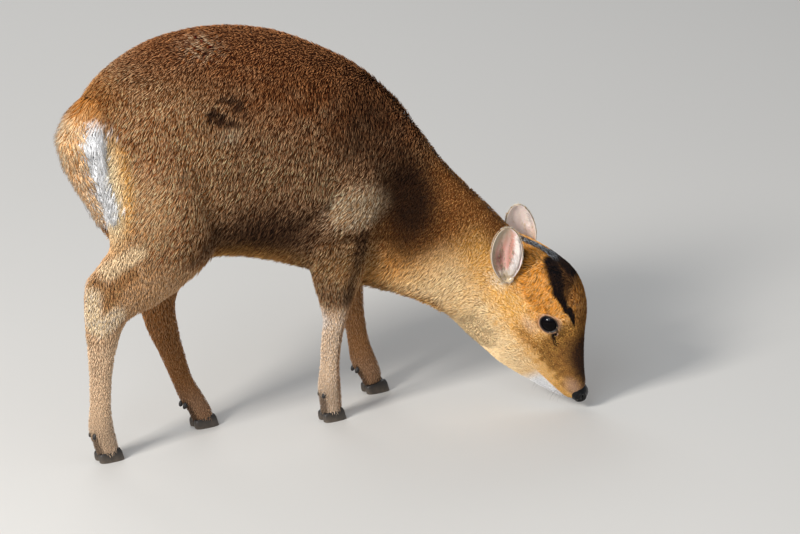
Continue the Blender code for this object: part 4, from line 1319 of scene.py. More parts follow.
def coat_piece(name, arrays, material):
    """One mesh of many tufts."""
    points, spread, colours = arrays
    count = len(points)
    mesh = bpy.data.meshes.new(name)
    corners = len(TUFT_MAP)
    faces = (TUFT_FACES[None] + (np.arange(count) * corners)[:, None, None]).reshape(-1, 3)
    mesh.vertices.add(count * corners)
    mesh.vertices.foreach_set("co", (points.reshape(-1, 3) + np.array(SHIFT)).ravel())
    mesh.loops.add(len(faces) * 3)
    mesh.loops.foreach_set("vertex_index", faces.ravel())
    mesh.polygons.add(len(faces))
    mesh.polygons.foreach_set("loop_start", np.arange(len(faces)) * 3)
    mesh.update(calc_edges=True)
    layer = mesh.uv_layers.new(name="OFBake")
    layer.data.foreach_set("uv", spread.reshape(-1, 2)[faces.ravel()].ravel())
    paint(mesh, colours.reshape(-1, 3))
    item = add_object(name, mesh)
    finish_piece(item, material, moved=False)
    return item


def strew_coat(name, arrays, order, material):
    """Split a coat into pieces cut along the given order."""
    ranks = np.argsort(order, kind="stable")
    parts = max(1, math.ceil(len(ranks) / TUFTS_PER_PIECE))
    for index, chosen in enumerate(np.array_split(ranks, parts)):
        coat_piece("%s_%d" % (name, index + 1), [values[chosen] for values in arrays],
                   material)


def hair_colours(middle, tip, draw, contrast, dark):
    """Root, middle and tip of each tuft: some dark-tipped, some light-tipped, most between."""
    count = len(middle)
    paleness = ramp(0.22, 0.60, middle.mean(axis=1))
    contrast = contrast * (1 - 0.6 * paleness)
    bright = 1 + contrast * 0.8 * (draw.random(count) - 0.5)
    kind = draw.random(count)
    share = np.where(kind < 0.25, -0.35 * contrast, np.where(kind > 0.55, 1.08, 0.55))
    tips = middle + (tip - middle) * share[:, None]
    dark = dark + (0.85 - dark) * paleness
    root = middle * (dark * (0.8 + 0.4 * draw.random(count)))[:, None]
    return root, middle * bright[:, None], np.clip(tips * bright[:, None], 0.002, 1.0)


def coat_weight(middle, kind):
    """Where each kind of coat grows on the skin."""
    head = head_share(middle)
    leg = ramp(0.012, -0.012, over_belly(middle)) * (1 - head) * (
        clear_of_neck(middle))
    tail = tail_share(middle) > 0.5
    feet = ramp(0.0105, 0.0135, middle[:, 2])
    place = in_head(middle)
    folded = mirrored(place)
    bare = 1 - ramp(0.0156, 0.0147, np.linalg.norm(folded - np.array(EYE_PLACE), axis=1))
    bare = bare * ramp(0.15, 0.5, off_line(folded, TEAR_LINE) / tear_width(place[:, 0]))
    bare = bare * ramp(0.0006, 0.0014, off_line(folded, MOUTH))
    bare = bare * ramp(-0.003, -0.010, place[:, 0])
    if kind == "body":
        weight = (1 - head) * (1 - leg) * (1 + 0.8 * white_beside_tail(middle))
    elif kind == "leg":
        weight = leg * feet
    else:
        weight = head * bare
    return weight * (~tail)


class MUNTJAC_OT_coat(bpy.types.Operator):
    """Strew tufts of hair over the skin"""
    bl_idname = "muntjac.coat"
    bl_label = "Coat"

    def execute(self, context):
        settings = context.scene.muntjac_coat
        skin = bpy.data.objects["skin"]
        patches = skin_patches(skin)
        draw = np.random.default_rng(settings.seed)
        fewer = 1.0
        # kind, tufts, length, width, lift, contrast, darkness of the roots, slot
        kinds = (
            ("body", settings.body_tufts, settings.body_length, settings.body_width, 0.0050, 1.0,
             0.15, "coat_back"),
            ("leg", settings.leg_tufts, settings.leg_length, 0.0009, 0.0021, 0.6, 0.60,
             "coat_leg"),
            ("head", settings.head_tufts, settings.head_length, 0.00078, 0.0015, 0.9, 0.45,
             "coat_head"),
        )
        for kind, count, length, width, lift, contrast, dark, slot in kinds:
            depth = getattr(context.scene.muntjac_skin, kind + "_depth")
            weight = coat_weight(patches["middle"], kind)
            roots, normals, flat = roots_on(patches, weight, int(count * fewer), draw)
            total = len(roots)
            lie = lie_of_coat(roots, normals)
            lie = unit(lie + np.cross(lie, normals) * draw.normal(0.0, 0.10, total)[:, None])
            middle, tip = markings(roots, normals)
            colours = hair_colours(middle, tip, draw, contrast, dark)
            size = 0.72 + 0.5 * draw.random(total)
            rise = coat_depth(roots) / depth
            broad = 0.75 + 0.5 * draw.random(total)
            if kind == "head":
                place = in_head(roots)
                size *= 0.50 + 0.75 * ramp(-0.03, -0.13, place[:, 0])
                low = ramp(-0.015, -0.05, place[:, 2]) * ramp(
                    -0.02, -0.07, place[:, 0])
                size *= 1 + 0.7 * low + 0.4 * ramp(0.03, 0.05, place[:, 2])
                rise = np.minimum(rise, 2.0) * (1 + 0.3 * low)
            if kind == "leg":
                size *= 0.65 + 0.75 * ramp(0.05, 0.20, roots[:, 2])
            if kind == "body":
                over = over_belly(roots)
                rise = rise * (1 + 0.7 * ramp(-0.2, -0.8, normals[:, 2]))
                size *= 1 - neck_share(roots) * (0.42 - 0.5 * ramp(0.07, 0.02, over))
                size *= 1 - 0.25 * ramp(0.40, 0.48, roots[:, 2])
                white = white_beside_tail(roots)
                size *= 1 + 0.6 * white
                broad = broad * (1 - 0.35 * white)
            arrays = tufts_along(
                roots, normals, lie, flat, length * size,
                width * broad * np.sqrt(size),
                lift * rise * np.clip(size, 0.7, 1.5) * (0.55 + 0.6 * draw.random(total)), 0.0006,
                colours)
            strew_coat("coat_" + kind, arrays, roots[:, 0], fur_material())
        return {"FINISHED"}


class MUNTJAC_OT_tail(bpy.types.Operator):
    """Grow the long hair of the tail, its fringe and its white underside"""
    bl_idname = "muntjac.tail"
    bl_label = "Tail"

    def execute(self, context):
        settings = context.scene.muntjac_coat
        draw = np.random.default_rng(settings.seed + 1)
        total = int(settings.tail_tufts * (1.0))
        down = -0.04 + 0.92 * (np.arange(total) + draw.random(total)) / total
        turn = np.radians(draw.uniform(-180, 180, total))
        outer = np.where(draw.random(total) < 0.7, 1.0, 0.78)
        reach = (0.11 + 0.12 * draw.random(total)) * (0.75 + 0.25 * ramp(0.0, 0.25, down))
        fringe = draw.random(total) < 0.24
        turn = np.where(fringe, np.radians(draw.uniform(-38, 60, total)), turn)
        reach = np.where(fringe, 0.07 + 0.05 * draw.random(total), reach)
        ragged = 1.0 + fringe * (0.05 + 0.26 * draw.random(total))
        lean = np.radians(4 + 9 * draw.normal(size=total) + 32 * ramp(-0.6, -1.2, turn))
        base = tail_place(down, turn, np.full(total, 0.36))
        bend = tail_place(down + reach * 0.42, turn + lean * 0.5, 0.86 * outer)
        end = tail_place(down + reach, turn + lean, outer * ragged + 0.03 * draw.normal(size=total))
        normals = unit(tail_place(down, turn, np.full(total, 1.0))
                       - tail_place(down, turn, np.full(total, 0.1)))
        side = unit(np.cross(end - base, normals))
        normals = np.cross(side, unit(end - base))
        zigzag = np.radians(-72 + 24 * ramp(0.1, 0.6, down) + 18 * ((down * 7.0) % 1.0)
                            + 6 * draw.normal(size=total))
        pale = (turn < zigzag) * ramp(0.06, 0.14, down)
        pale = np.maximum(pale, ramp(1.5, 1.8, turn))
        pale = np.maximum(pale, ramp(0.93, 1.02, down + reach * 0.5))
        by_root = ramp(0.15, 0.02, down)
        lit = fringe * (0.5 + 0.5 * draw.random(total)) * (1 - by_root)
        middle = rows_of(settings.tail_orange, total)
        tip = blend_in(rows_of(settings.tail_tip, total), np.array(settings.white),
                       ramp(-0.3, 0.6, turn) * 0.6)
        low = ramp(0.25, 0.60, down) * (turn < 0.8)
        middle = blend_in(middle, settings.cream, np.maximum(lit * 0.6, low * 0.3))
        tip = blend_in(tip, settings.white, low * 0.4)
        middle = blend_in(middle, settings.neck, by_root * 0.8)
        tip = blend_in(tip, settings.neck_tip, by_root * 0.8)
        middle = blend_in(middle, settings.white, pale)
        tip = blend_in(tip, settings.white, pale)
        root, middle, tip = hair_colours(middle, tip, draw, 0.5, 0.7)
        root = blend_in(root, np.array(settings.white) * 0.8, pale)
        flat = flat_places(bpy.data.objects["skin"], base)
        width = (0.0013 + 0.0006 * fringe) * (0.7 + 0.6 * draw.random(total))
        arrays = tufts_through(base, bend, end, side, normals, width, flat, (root, middle, tip))
        strew_coat("coat_tail", arrays, base[:, 2], fur_material())
        return {"FINISHED"}


# Ears
def ear_frame(side_name):
    root, length_way, facing = EARS[side_name]
    base = head_matrix() @ root
    along = length_way.normalized()
    out = (facing - along * facing.dot(along)).normalized()
    return base, along, out, along.cross(out)


def ear_point(side_name, u, v, inset):
    """A place on the ear: u from root to tip, v across, inset out towards the opening."""
    base, along, out, across = ear_frame(side_name)
    if u < EAR_WIDEST:
        width = 0.24 + 0.76 * math.sin(math.pi / 2 * max(u, 0.0) / EAR_WIDEST) ** 0.8
    else:
        width = max(0.0, 1 - ((u - EAR_WIDEST) / (1 - EAR_WIDEST)) ** 2.0) ** 0.52
    half_angle = math.radians(82 - 40 * min(1.0, u / 0.8))
    radius = EAR_HALF_WIDTH * width / math.sin(half_angle)
    bow = EAR_BOW * u * u - EAR_TUCK * max(0.0, 1 - u / 0.4) ** 2
    angle = half_angle * v
    depth = radius * (math.cos(angle) - math.cos(half_angle))
    place = base + along * (EAR_LENGTH * (u - 0.06)) + across * (radius * math.sin(angle))
    inward = (out * math.cos(angle) - across * math.sin(angle)).normalized()
    return place - out * (depth - bow) + inward * inset


def ear_flat(u, v, inner):
    """Place on the ear's flat map, the inside and the outside side by side."""
    return (0.02 + 0.23 * (v + 1)) + (0.0 if inner else 0.5), 0.02 + 0.96 * u


def ear_colour(side_name, u, v, inner):
    """Colour of the ear's skin by place."""
    skin, coat = bpy.context.scene.muntjac_skin, bpy.context.scene.muntjac_coat
    edge, white = abs(v), Vector(coat.white)
    pink, pale, grey = Vector(skin.ear_pink), Vector(skin.ear_pale), Vector(skin.ear_grey)
    if not inner:
        base = Vector(coat.speckle).lerp(Vector(coat.bridge), 0.35)
        return base.lerp(Vector(coat.cream), max(0.0, edge - 0.9) / 0.1)
    streak = 0.5 + 0.5 * math.sin(v * 14 + 2.2 * math.sin(u * 5))
    if side_name == "left":
        base = pale.lerp(pink, 0.10 + 0.18 * streak * (1 - u))
        spot = math.exp(-((u - 0.30) / 0.12) ** 2 - ((v + 0.62) / 0.20) ** 2)
        base = base.lerp(Vector(skin.ear_dark), 0.6 * spot)
        base = base.lerp(Vector(coat.neck_tip), min(0.75, max(0.0, 0.42 + 0.2 * v - u) * 1.8))
        return base.lerp(pale, max(0.0, edge - 0.95) / 0.05)
    base = pink.lerp(pale, 0.25 * streak)
    base = base.lerp(grey, min(0.85, max(0.0, u - 0.60 - 0.25 * v) * 2.6))
    base = base.lerp(grey, min(0.8, max(0.0, -v - 0.50) * 2.4))
    spot = math.exp(-((u - 0.40) / 0.11) ** 2 - ((v + 0.42) / 0.26) ** 2)
    base = base.lerp(Vector(skin.ear_dark), 0.8 * spot)
    base = base.lerp(pale, min(0.8, max(0.0, 0.22 - u) * 5))
    base = base.lerp(white, min(0.35, max(0.0, v - 0.42 - 0.3 * u) * 1.6))
    return base.lerp(pale, max(0.0, edge - 0.95) / 0.05)


def ear_shell(side_name, rows, columns, wall):
    """A thin cup with a rolled edge, its inside and outside coloured apart."""
    shape = bmesh.new()
    tint = []
    sheets = []
    flat_of = {}
    for inner in (True, False):
        sheet = []
        for row in range(rows + 1):
            u = 0.992 * math.sin(math.pi / 2 * row / rows)
            line = []
            for column in range(columns + 1):
                v = 2 * column / columns - 1
                rim = min(1.0, (1 - abs(v)) * 6, (rows - row) * 0.8 + 0.12)
                half = wall * 0.5 * math.sqrt(max(0.05, rim))
                fold = 0.0010 * math.sin(v * 10 + u * 2) * (1 - u) if inner else 0.0
                fold *= min(1.0, (1 - abs(v)) * 4)
                inset = -wall * 0.5 + (half + fold if inner else -half)
                line.append(shape.verts.new(ear_point(side_name, u, v, inset)))
                flat_of[line[-1]] = ear_flat(u, v, inner)
                tint.append(ear_colour(side_name, u, v, inner))
            sheet.append(line)
        sheets.append(sheet)
    for index, sheet in enumerate(sheets):
        for first, second in zip(sheet, sheet[1:]):
            for column in range(columns):
                face = (first[column], first[column + 1], second[column + 1], second[column])
                shape.faces.new(face if index == 0 else face[::-1])
    loop_in, loop_out = (
        [line[0] for line in sheet] + sheet[-1][1:] + [line[-1] for line in sheet[-2::-1]]
        + sheet[0][-2:0:-1] for sheet in sheets)
    for index, point in enumerate(loop_in):
        follow = (index + 1) % len(loop_in)
        shape.faces.new((point, loop_out[index], loop_out[follow], loop_in[follow]))
    bmesh.ops.recalc_face_normals(shape, faces=shape.faces)
    layer = shape.loops.layers.uv.new("OFBake")
    for face in shape.faces:
        for loop in face.loops:
            loop[layer].uv = flat_of[loop.vert]
    item = object_from("ear_" + side_name + "_skin", shape)
    paint(item.data, np.array([tuple(colour) for colour in tint]))
    return item


# Hair of the ears by kind: how many, depth under the hollow, length, width, lift, colours
EAR_HAIR = {
    "back": (2200, -0.0022, 0.0042, 0.0007, 0.0010, "speckle", "gold"),
    "rim": (1000, -0.0011, 0.0026, 0.0003, 0.0007, "cream", "white"),
    "front": (1000, 0.0, 0.0080, 0.00045, 0.0020, "ear_pale", "white"),
    "inside": (600, 0.0, 0.0050, 0.0005, 0.0008, "ear_grey", "cream"),
    "foot": (160, 0.0004, 0.0075, 0.0004, 0.0016, "cream", "white"),
    "sock": (400, -0.0024, 0.0080, 0.0008, 0.0016, "gold", "cream"),
    "skirt": (260, 0.0006, 0.0065, 0.0005, 0.0014, "cream", "white"),
}


def ear_hair(side_name, draw):
    """Hair on the back, along the rim, and inside the front edge of one ear."""
    coat, skin = bpy.context.scene.muntjac_coat, bpy.context.scene.muntjac_skin
    _, along, out, across = (np.array(way) for way in ear_frame(side_name))
    parts = []
    for kind, (count, inset, length, width, lift, *names) in EAR_HAIR.items():
        if kind in ("front", "inside") and side_name == "left":
            count = 90
            names = names if kind == "front" else ("cream", "cream")
        count = count
        outside = kind in ("back", "rim", "sock")
        colour, tips = (np.array(getattr(skin if name in ("ear_pale", "ear_grey") else coat, name))
                        for name in names)
        u = 0.05 + 0.93 * draw.random(count)
        v = 2 * draw.random(count) - 1
        if kind == "back":
            u, v = u * 0.88, v * 0.88
        elif kind == "rim":
            v = np.sign(v) * (0.965 + 0.03 * draw.random(count))
            top = draw.random(count) < 0.14
            u = np.where(top, 0.97, u)
            v = np.where(top, 2 * draw.random(count) - 1, v)
        elif kind == "front":
            u = 0.03 + 0.75 * draw.random(count)
            v = 1.0 - (0.46 - 0.45 * u) * draw.random(count)
        elif kind == "inside":
            v = v * 0.9
        elif kind == "foot":
            u = 0.02 + 0.10 * draw.random(count)
        elif kind == "skirt":
            u = 0.01 + 0.09 * draw.random(count)
            v = v * 0.95
        elif kind == "sock":
            u = -0.02 + 0.17 * draw.random(count)
        places, nudged = (np.array([ear_point(side_name, a, b, depth) for a, b in zip(u, v)])
                          for depth in (inset, inset + 1e-4))
        normals = unit(nudged - places) * (-1 if outside else 1)
        lie = rows_of(along, count)
        if kind == "rim":
            lie = lie * 0.7 + across * np.sign(v)[:, None] * 0.6
            lie = np.where((u > 0.95)[:, None], along[None], lie)
        elif kind == "front":
            lie = lie * 0.6 - across * 0.8
        elif kind == "foot":
            lie = lie * 0.8 + out * 0.4
        elif kind == "skirt":
            lie = out * 0.3 - lie * 0.9
        lie = lie + draw.normal(size=(count, 3)) * (0.24 if kind == "front" else 0.14)
        lie = along_skin(lie, normals)
        middle = colour * (0.8 + 0.3 * draw.random(count))[:, None]
        tip = tips * (0.85 + 0.15 * draw.random(count))[:, None]
        size = 0.7 + 0.6 * draw.random(count)
        flat = np.array([ear_flat(a, b, not outside) for a, b in zip(u, v)])
        parts.append(tufts_along(
            places, normals, lie, flat, length * size, width * size, lift * size, 0.0003,
            (middle * 0.7, middle, tip)))
    return [np.concatenate(values) for values in zip(*parts)]


class MUNTJAC_OT_ears(bpy.types.Operator):
    """Build both ears with their hair"""
    bl_idname = "muntjac.ears"
    bl_label = "Ears"

    def execute(self, context):
        skin_material, shader = new_material("Ear skin", 0.6, 0.12)
        show_paint(shader, {"Fine scale": 260.0, "Fine strength": 0.25})
        add_grain(shader, 420.0, 0.25)
        shader.inputs["Subsurface Weight"].default_value = 0.12
        shader.inputs["Subsurface Radius"].default_value = (0.006, 0.002, 0.001)
        draw = np.random.default_rng(context.scene.muntjac_coat.seed + 2)
        for side_name in EARS:
            ear = ear_shell(side_name, 30, 26, EAR_WALL)
            finish_piece(ear, skin_material, ["ear_" + side_name])
            coat_piece("ear_%s_hair" % side_name, ear_hair(side_name, draw), fur_material())
        return {"FINISHED"}


# Eyes and lids
class MUNTJAC_OT_eyes(bpy.types.Operator):
    """Build the eyeballs and the lids round them"""
    bl_idname = "muntjac.eyes"
    bl_label = "Eyes"

    def execute(self, context):
        details, skin = context.scene.muntjac_details, context.scene.muntjac_skin
        eye_material, shader = new_material("Eye", 0.14, 0.06, 0.3, 0.04)
        source, _ = show_paint(shader, {"Fine scale": 900.0})
        # The coat's gloss follows the blue of the paint, so it is strongest where the painted
        # reflection lies, towards the top of the eye
        apart = add_node(shader.id_data, "ShaderNodeSeparateColor")
        gloss = add_node(shader.id_data, "ShaderNodeMapRange", {
            "From Min": details.eye_dark[2] * 1.5, "From Max": details.iris[2],
            "To Min": 0.04, "To Max": 0.75})
        join(source, "Color", apart, "Color")
        join(apart, "Blue", gloss, "Value")
        join(gloss, "Result", shader, "Coat Weight")
        lid_material = painted_material("Lid skin", 0.5, 1200.0, 0.3, 0.1, 0.25, specular=0.4)
        for side, side_name in ((1, "left"), (-1, "right")):
            centre = EYE_PLACE.copy()
            centre.y *= side
            eye = ball("eye_%s_ball" % side_name, (0, 0, 0), (EYE_RADIUS,) * 3, 48, 32)
            eye.data.transform(Matrix.Translation(centre) @ Matrix.Rotation(
                math.radians(90), 4, "X"))
            points = coordinates(eye.data)
            rel = points - np.array(centre)
            rel[:, 1] *= side
            # Painted reflection: the eye is painted bluish towards its top, as seen by the camera,
            # for the sky reflected on it
            sky = ramp(-0.1, 0.9, rel @ UPRIGHT / EYE_RADIUS)
            dark = rows_of(details.eye_dark, len(rel))
            paint(eye.data, blend_in(dark, details.iris, sky))
            eye.data.transform(head_matrix())
            finish_piece(eye, eye_material, ["eye_" + side_name])
            self.tear_line(side, side_name)
            lids = self.lid_ring(side, skin)
            lids.data.transform(head_matrix())
            finish_piece(lids, lid_material)
        return {"FINISHED"}

    def tear_line(self, side, side_name):
        """Short black hairs along the slit that runs down from the eye's front corner."""
        count = 110
        draw = np.random.default_rng(11)
        line = np.array(TEAR_LINE) * (1.0, side, 1.0) / 1000
        share = np.sort(draw.random(count)) * (len(line) - 1.4)
        spots = np.stack([np.interp(share, np.arange(len(line)), line[:, axis])
                          for axis in range(3)], axis=1)
        spots[:, 2] += draw.uniform(-0.6, 0.6, count) * tear_width(spots[:, 0])
        spots = from_head(spots) + np.array(NOSE_POINT)
        skin = bpy.data.objects["skin"]
        roots, normals = [], []
        for spot in spots:
            _, root, normal, _ = skin.closest_point_on_mesh(Vector(spot) + SHIFT)
            roots.append(root - SHIFT)
            normals.append(normal)
        normals = np.array(normals)
        lie = np.tile(spots[-1] - spots[0], (count, 1)) + draw.normal(0.0, 0.002, (count, 3))
        lie = along_skin(lie, normals)
        black = rows_of(bpy.context.scene.muntjac_coat.black, count)
        ones = np.ones(count)
        arrays = tufts_along(
            np.array(roots) + normals * 0.0009, normals, lie, flat_places(skin, spots),
            0.0026 * ones, 0.0009 * ones, 0.0004 * ones, 0.0012, (black, black, black))
        coat_piece("tear_line_" + side_name, arrays, fur_material())

    def lid_ring(self, side, skin):
        """A soft rim that follows the almond opening over the ball, with a crease outside it."""
        count = 72
        # share of the way out over the ball, height over the ball, darkness
        profile = ((0.92, -0.0016, 1.0), (0.94, 0.0001, 1.0), (0.97, 0.0007, 0.8),
                   (1.02, 0.0011, 0.25), (1.07, 0.0011, 0.04), (1.12, 0.0007, 0.0),
                   (1.16, 0.0002, 0.25), (1.21, 0.0001, 0.0), (1.28, -0.0010, 0.0),
                   (1.36, -0.0030, 0.0), (1.25, -0.0044, 0.0), (1.03, -0.0040, 0.0))
        rings, tint = [], []
        centre = Vector((EYE_PLACE.x, EYE_PLACE.y * side, EYE_PLACE.z))
        pale, dark = Vector(skin.lid), Vector(skin.lid_edge)
        for index in range(count):
            angle = 2 * math.pi * index / count
            upper = max(0.0, math.sin(angle))
            corner = max(0.0, 1.0 - min(angle, 2 * math.pi - angle) / 0.34)
            ring = []
            for share, height, darkness in profile:
                x, z = almond(angle, share)
                reach = min(0.97, math.hypot(x, z) / (EYE_RADIUS * 1.32))
                drop = EYE_RADIUS * math.sqrt(1 - reach * reach)
                top = height + 0.0006 * upper * (share > 0.93) - 0.0008 * corner * (share > 1.0)
                darkness = max(darkness, corner * 1.3)
                away = Vector((x, drop, z)).normalized()
                place = Vector((x, drop, z)) + away * top
                ring.append(centre + Vector((place.x, side * place.y, place.z)))
                tint.append(tuple(pale.lerp(dark, min(1.0, darkness))))
            rings.append(ring)
        item = loft("lids_left" if side > 0 else "lids_right", rings, closed=True)
        paint(item.data, np.array(tint))
        return item


# Nose pad
class MUNTJAC_OT_nose(bpy.types.Operator):
    """Build the moist nose pad with its nostrils"""
    bl_idname = "muntjac.nose"
    bl_label = "Nose"

    def execute(self, context):
        details = context.scene.muntjac_details
        material, shader = new_material("Nose", 0.40, 0.12, 0.35, 0.07)
        add_ticking(shader, {"Colour": (*details.nose_black, 1.0), "Fine strength": 0.8})
        add_grain(shader, 900.0, 0.16)
        pad = ball("nose_pad_skin", (0, 0, 0), (1, 1, 1), 96, 64)
        points = coordinates(pad.data)
        place = points * NOSE_RADII + NOSE_CENTRE
        folded = mirrored(place)
        curl = ((5, 12, 5.2), (7.2, 9.5, 3.2), (8.2, 7.2, 0.2),
                (6.2, 9.8, -2.2))
        hole = np.exp(-(off_line(folded, curl) / 0.0016) ** 2)
        wing = np.exp(-((off_line(folded, curl) - 0.0040) / 0.0014) ** 2)
        cleft = np.exp(-(place[:, 1] / 0.0007) ** 2) * ramp(0.004, -0.004, place[:, 2])
        rise = -0.0042 * hole + 0.0012 * wing - 0.0009 * cleft
        set_coordinates(pad.data, place + points * rise[:, None])
        pad.data.transform(head_matrix())
        finish_piece(pad, material, ["nose_pad"])
        return {"FINISHED"}


# Hooves
def toe_sections(stations, side):
    """Level slices of one toe, side 1 the left and -1 the right one."""
    front_x, _, back_x, _, foot_y, _ = stations[-1]
    sections = []
    # share of the height, reach of the tip, place of the heel, share of the width
    slices = ((0.0, 0.94, 0.0020, 0.97), (0.06, 1.0, 0.0015, 1.0), (0.35, 0.62, 0.0006, 1.0),
              (0.75, 0.10, 0.0002, 0.95), (0.94, -0.40, 0.0006, 0.89), (1.06, -0.8, 0.0020, 0.80))
    for share, reach, heel, width_share in slices:
        width = TOE_WIDTH * width_share
        y = foot_y + side * (TOE_GAP / 2 + TOE_WIDTH / 2)
        high = Vector((front_x + HOOF_TIP_REACH * reach, y - side * 0.0012, HOOF_TOP_FRONT * share))
        low = Vector((back_x + heel, y, HOOF_TOP_HEEL * share))
        sections.append(section(
            high, low, low.lerp(high, 0.42), Vector((0, 1, 0)), width / 2, 32, 2.5, 0.12))
    return sections


class MUNTJAC_OT_hooves(bpy.types.Operator):
    """Build the cloven hooves and the dewclaws"""
    bl_idname = "muntjac.hooves"
    bl_label = "Hooves"

    def execute(self, context):
        details = context.scene.muntjac_details
        material, shader = new_material("Hoof horn", 0.42, 0.5)
        tree = shader.id_data
        place = add_node(tree, "ShaderNodeTexCoord")
        rings = add_node(tree, "ShaderNodeTexWave",
                         {"Scale": 190.0, "Distortion": 1.5, "Detail": 2.0},
                         wave_type="BANDS", bands_direction="Z")
        noise = add_node(tree, "ShaderNodeTexNoise", {"Scale": 160.0, "Detail": 5.0})
        apart = add_node(tree, "ShaderNodeSeparateXYZ")
        for node in (rings, noise, apart):
            join(place, "Object", node, "Vector")
        add_bump(shader, rings, "Fac", 0.35, 0.0005)
        low = add_node(tree, "ShaderNodeMapRange", {"From Min": 0.012, "From Max": 0.0})
        join(apart, "Z", low, "Value")
        dust = add_node(tree, "ShaderNodeMath", operation="MULTIPLY")
        join(low, "Result", dust, 0)
        join(noise, "Fac", dust, 1)
        mix = add_node(tree, "ShaderNodeMix", {
            "A": (*details.horn, 1.0), "B": (*details.horn_dust, 1.0)}, data_type="RGBA")
        join(dust, 0, mix, "Factor")
        join(mix, "Result", shader, "Base Color")
        for leg, stations in LEGS.items():
            for side, side_name in ((1, "left"), (-1, "right")):
                hoof = loft("hoof_%s_%s_horn" % (leg, side_name), toe_sections(stations, side))
                bevel = hoof.modifiers.new("Soft edges", "BEVEL")
                bevel.width = 0.0004
                bevel.segments = 2
                bevel.limit_method = "ANGLE"
                bake_modifiers(hoof)
                finish_piece(hoof, material, ["hoof_%s_%s" % (leg, side_name)])
                _, _, back_x, back_z, claw_y, _ = stations[PASTERN]
                claw = ball("dewclaw_%s_%s_horn" % (leg, side_name), (0, 0, 0),
                            DEWCLAW_RADII, 20, 14)
                claw.data.transform(Matrix.Translation((
                    back_x + DEWCLAW_FORWARD, claw_y + side * DEWCLAW_SIDE,
                    back_z - DEWCLAW_DROP)) @ Matrix.Rotation(DEWCLAW_LEAN, 4, "Y"))
                finish_piece(claw, material)
        return {"FINISHED"}


# Whiskers and lashes
def bristle_tree():
    """Bent tapering hairs on points, aimed and sized by the points' own values."""
    tree = bpy.data.node_groups.new("Bristles on points", "GeometryNodeTree")
    face = tree.interface
    face.new_socket("Geometry", in_out="INPUT", socket_type="NodeSocketGeometry")
    sockets = {}
    for name, kind, default in (
            ("Thickness", "Float", 0.012), ("Bend", "Float", 0.25), ("Variation", "Float", 0.25),
            ("Seed", "Int", 1), ("Material", "Material", None)):
        sockets[name] = face.new_socket(name, in_out="INPUT", socket_type="NodeSocket" + kind)
        if default is not None:
            sockets[name].default_value = default
    face.new_socket("Geometry", in_out="OUTPUT", socket_type="NodeSocketGeometry")

    def add(kind, inputs=(), **settings):
        return add_node(tree, kind, inputs, **settings)

    given, result = add("NodeGroupInput"), add("NodeGroupOutput")
    curve = add("GeometryNodeCurveQuadraticBezier", {
        "Resolution": 7, "Start": (0, 0, 0), "Middle": (0, 0, 0.55)})
    end = add("ShaderNodeCombineXYZ", {"Z": 1.0})
    along = add("GeometryNodeSplineParameter")
    taper = add("ShaderNodeMapRange", {"To Min": 1.0, "To Max": 0.12})
    radius = add("ShaderNodeMath", operation="MULTIPLY")
    circle = add("GeometryNodeCurvePrimitiveCircle", {"Resolution": 5, "Radius": 1.0})
    hair = add("GeometryNodeCurveToMesh", {"Fill Caps": True})
    aim = add("GeometryNodeInputNamedAttribute", {"Name": "aim"}, data_type="FLOAT_VECTOR")
    reach = add("GeometryNodeInputNamedAttribute", {"Name": "reach"}, data_type="FLOAT")
    turn = add("FunctionNodeAlignRotationToVector", axis="Z")
    vary = add("FunctionNodeRandomValue", {"Max": 1.0}, data_type="FLOAT")
    spread = add("ShaderNodeMath", {0: 1.0}, operation="SUBTRACT")
    size = add("ShaderNodeMath", operation="MULTIPLY")
    strew = add("GeometryNodeInstanceOnPoints")
    real = add("GeometryNodeRealizeInstances")
    dressed = add("GeometryNodeSetMaterial")
    for ends in (
            (given, "Bend", end, "X"), (end, 0, curve, "End"), (along, "Factor", taper, "Value"),
            (taper, "Result", radius, 0), (given, "Thickness", radius, 1),
            (curve, 0, hair, "Curve"), (radius, 0, hair, "Scale"),
            (circle, 0, hair, "Profile Curve"), (aim, "Attribute", turn, "Vector"),
            (given, "Variation", spread, 1), (spread, 0, vary, "Min"),
            (given, "Seed", vary, "Seed"), (reach, "Attribute", size, 0), (vary, "Value", size, 1),
            (given, "Geometry", strew, "Points"), (hair, 0, strew, "Instance"),
            (turn, 0, strew, "Rotation"), (size, 0, strew, "Scale"), (strew, 0, real, 0),
            (real, 0, dressed, "Geometry"), (given, "Material", dressed, "Material"),
            (dressed, 0, result, 0)):
        join(*ends)
    return tree, {name: socket.identifier for name, socket in sockets.items()}


def grow_bristles(name, places, aims, reaches, tree, names, values, material):
    """Grow one hair on each place and make a plain mesh of them."""
    mesh = bpy.data.meshes.new(name)
    mesh.from_pydata([tuple(place) for place in places], [], [])
    aim = mesh.attributes.new("aim", "FLOAT_VECTOR", "POINT")
    aim.data.foreach_set("vector", np.asarray(aims, float).ravel())
    reach = mesh.attributes.new("reach", "FLOAT", "POINT")
    reach.data.foreach_set("value", np.asarray(reaches, float).ravel())
    item = add_object(name, mesh)
    modifier = item.modifiers.new("Bristles", "NODES")
    modifier.node_group = tree
    for key, value in values.items():
        modifier[names[key]] = value
    modifier[names["Material"]] = material
    bake_modifiers(item)
    item.data.transform(head_matrix())
    return item


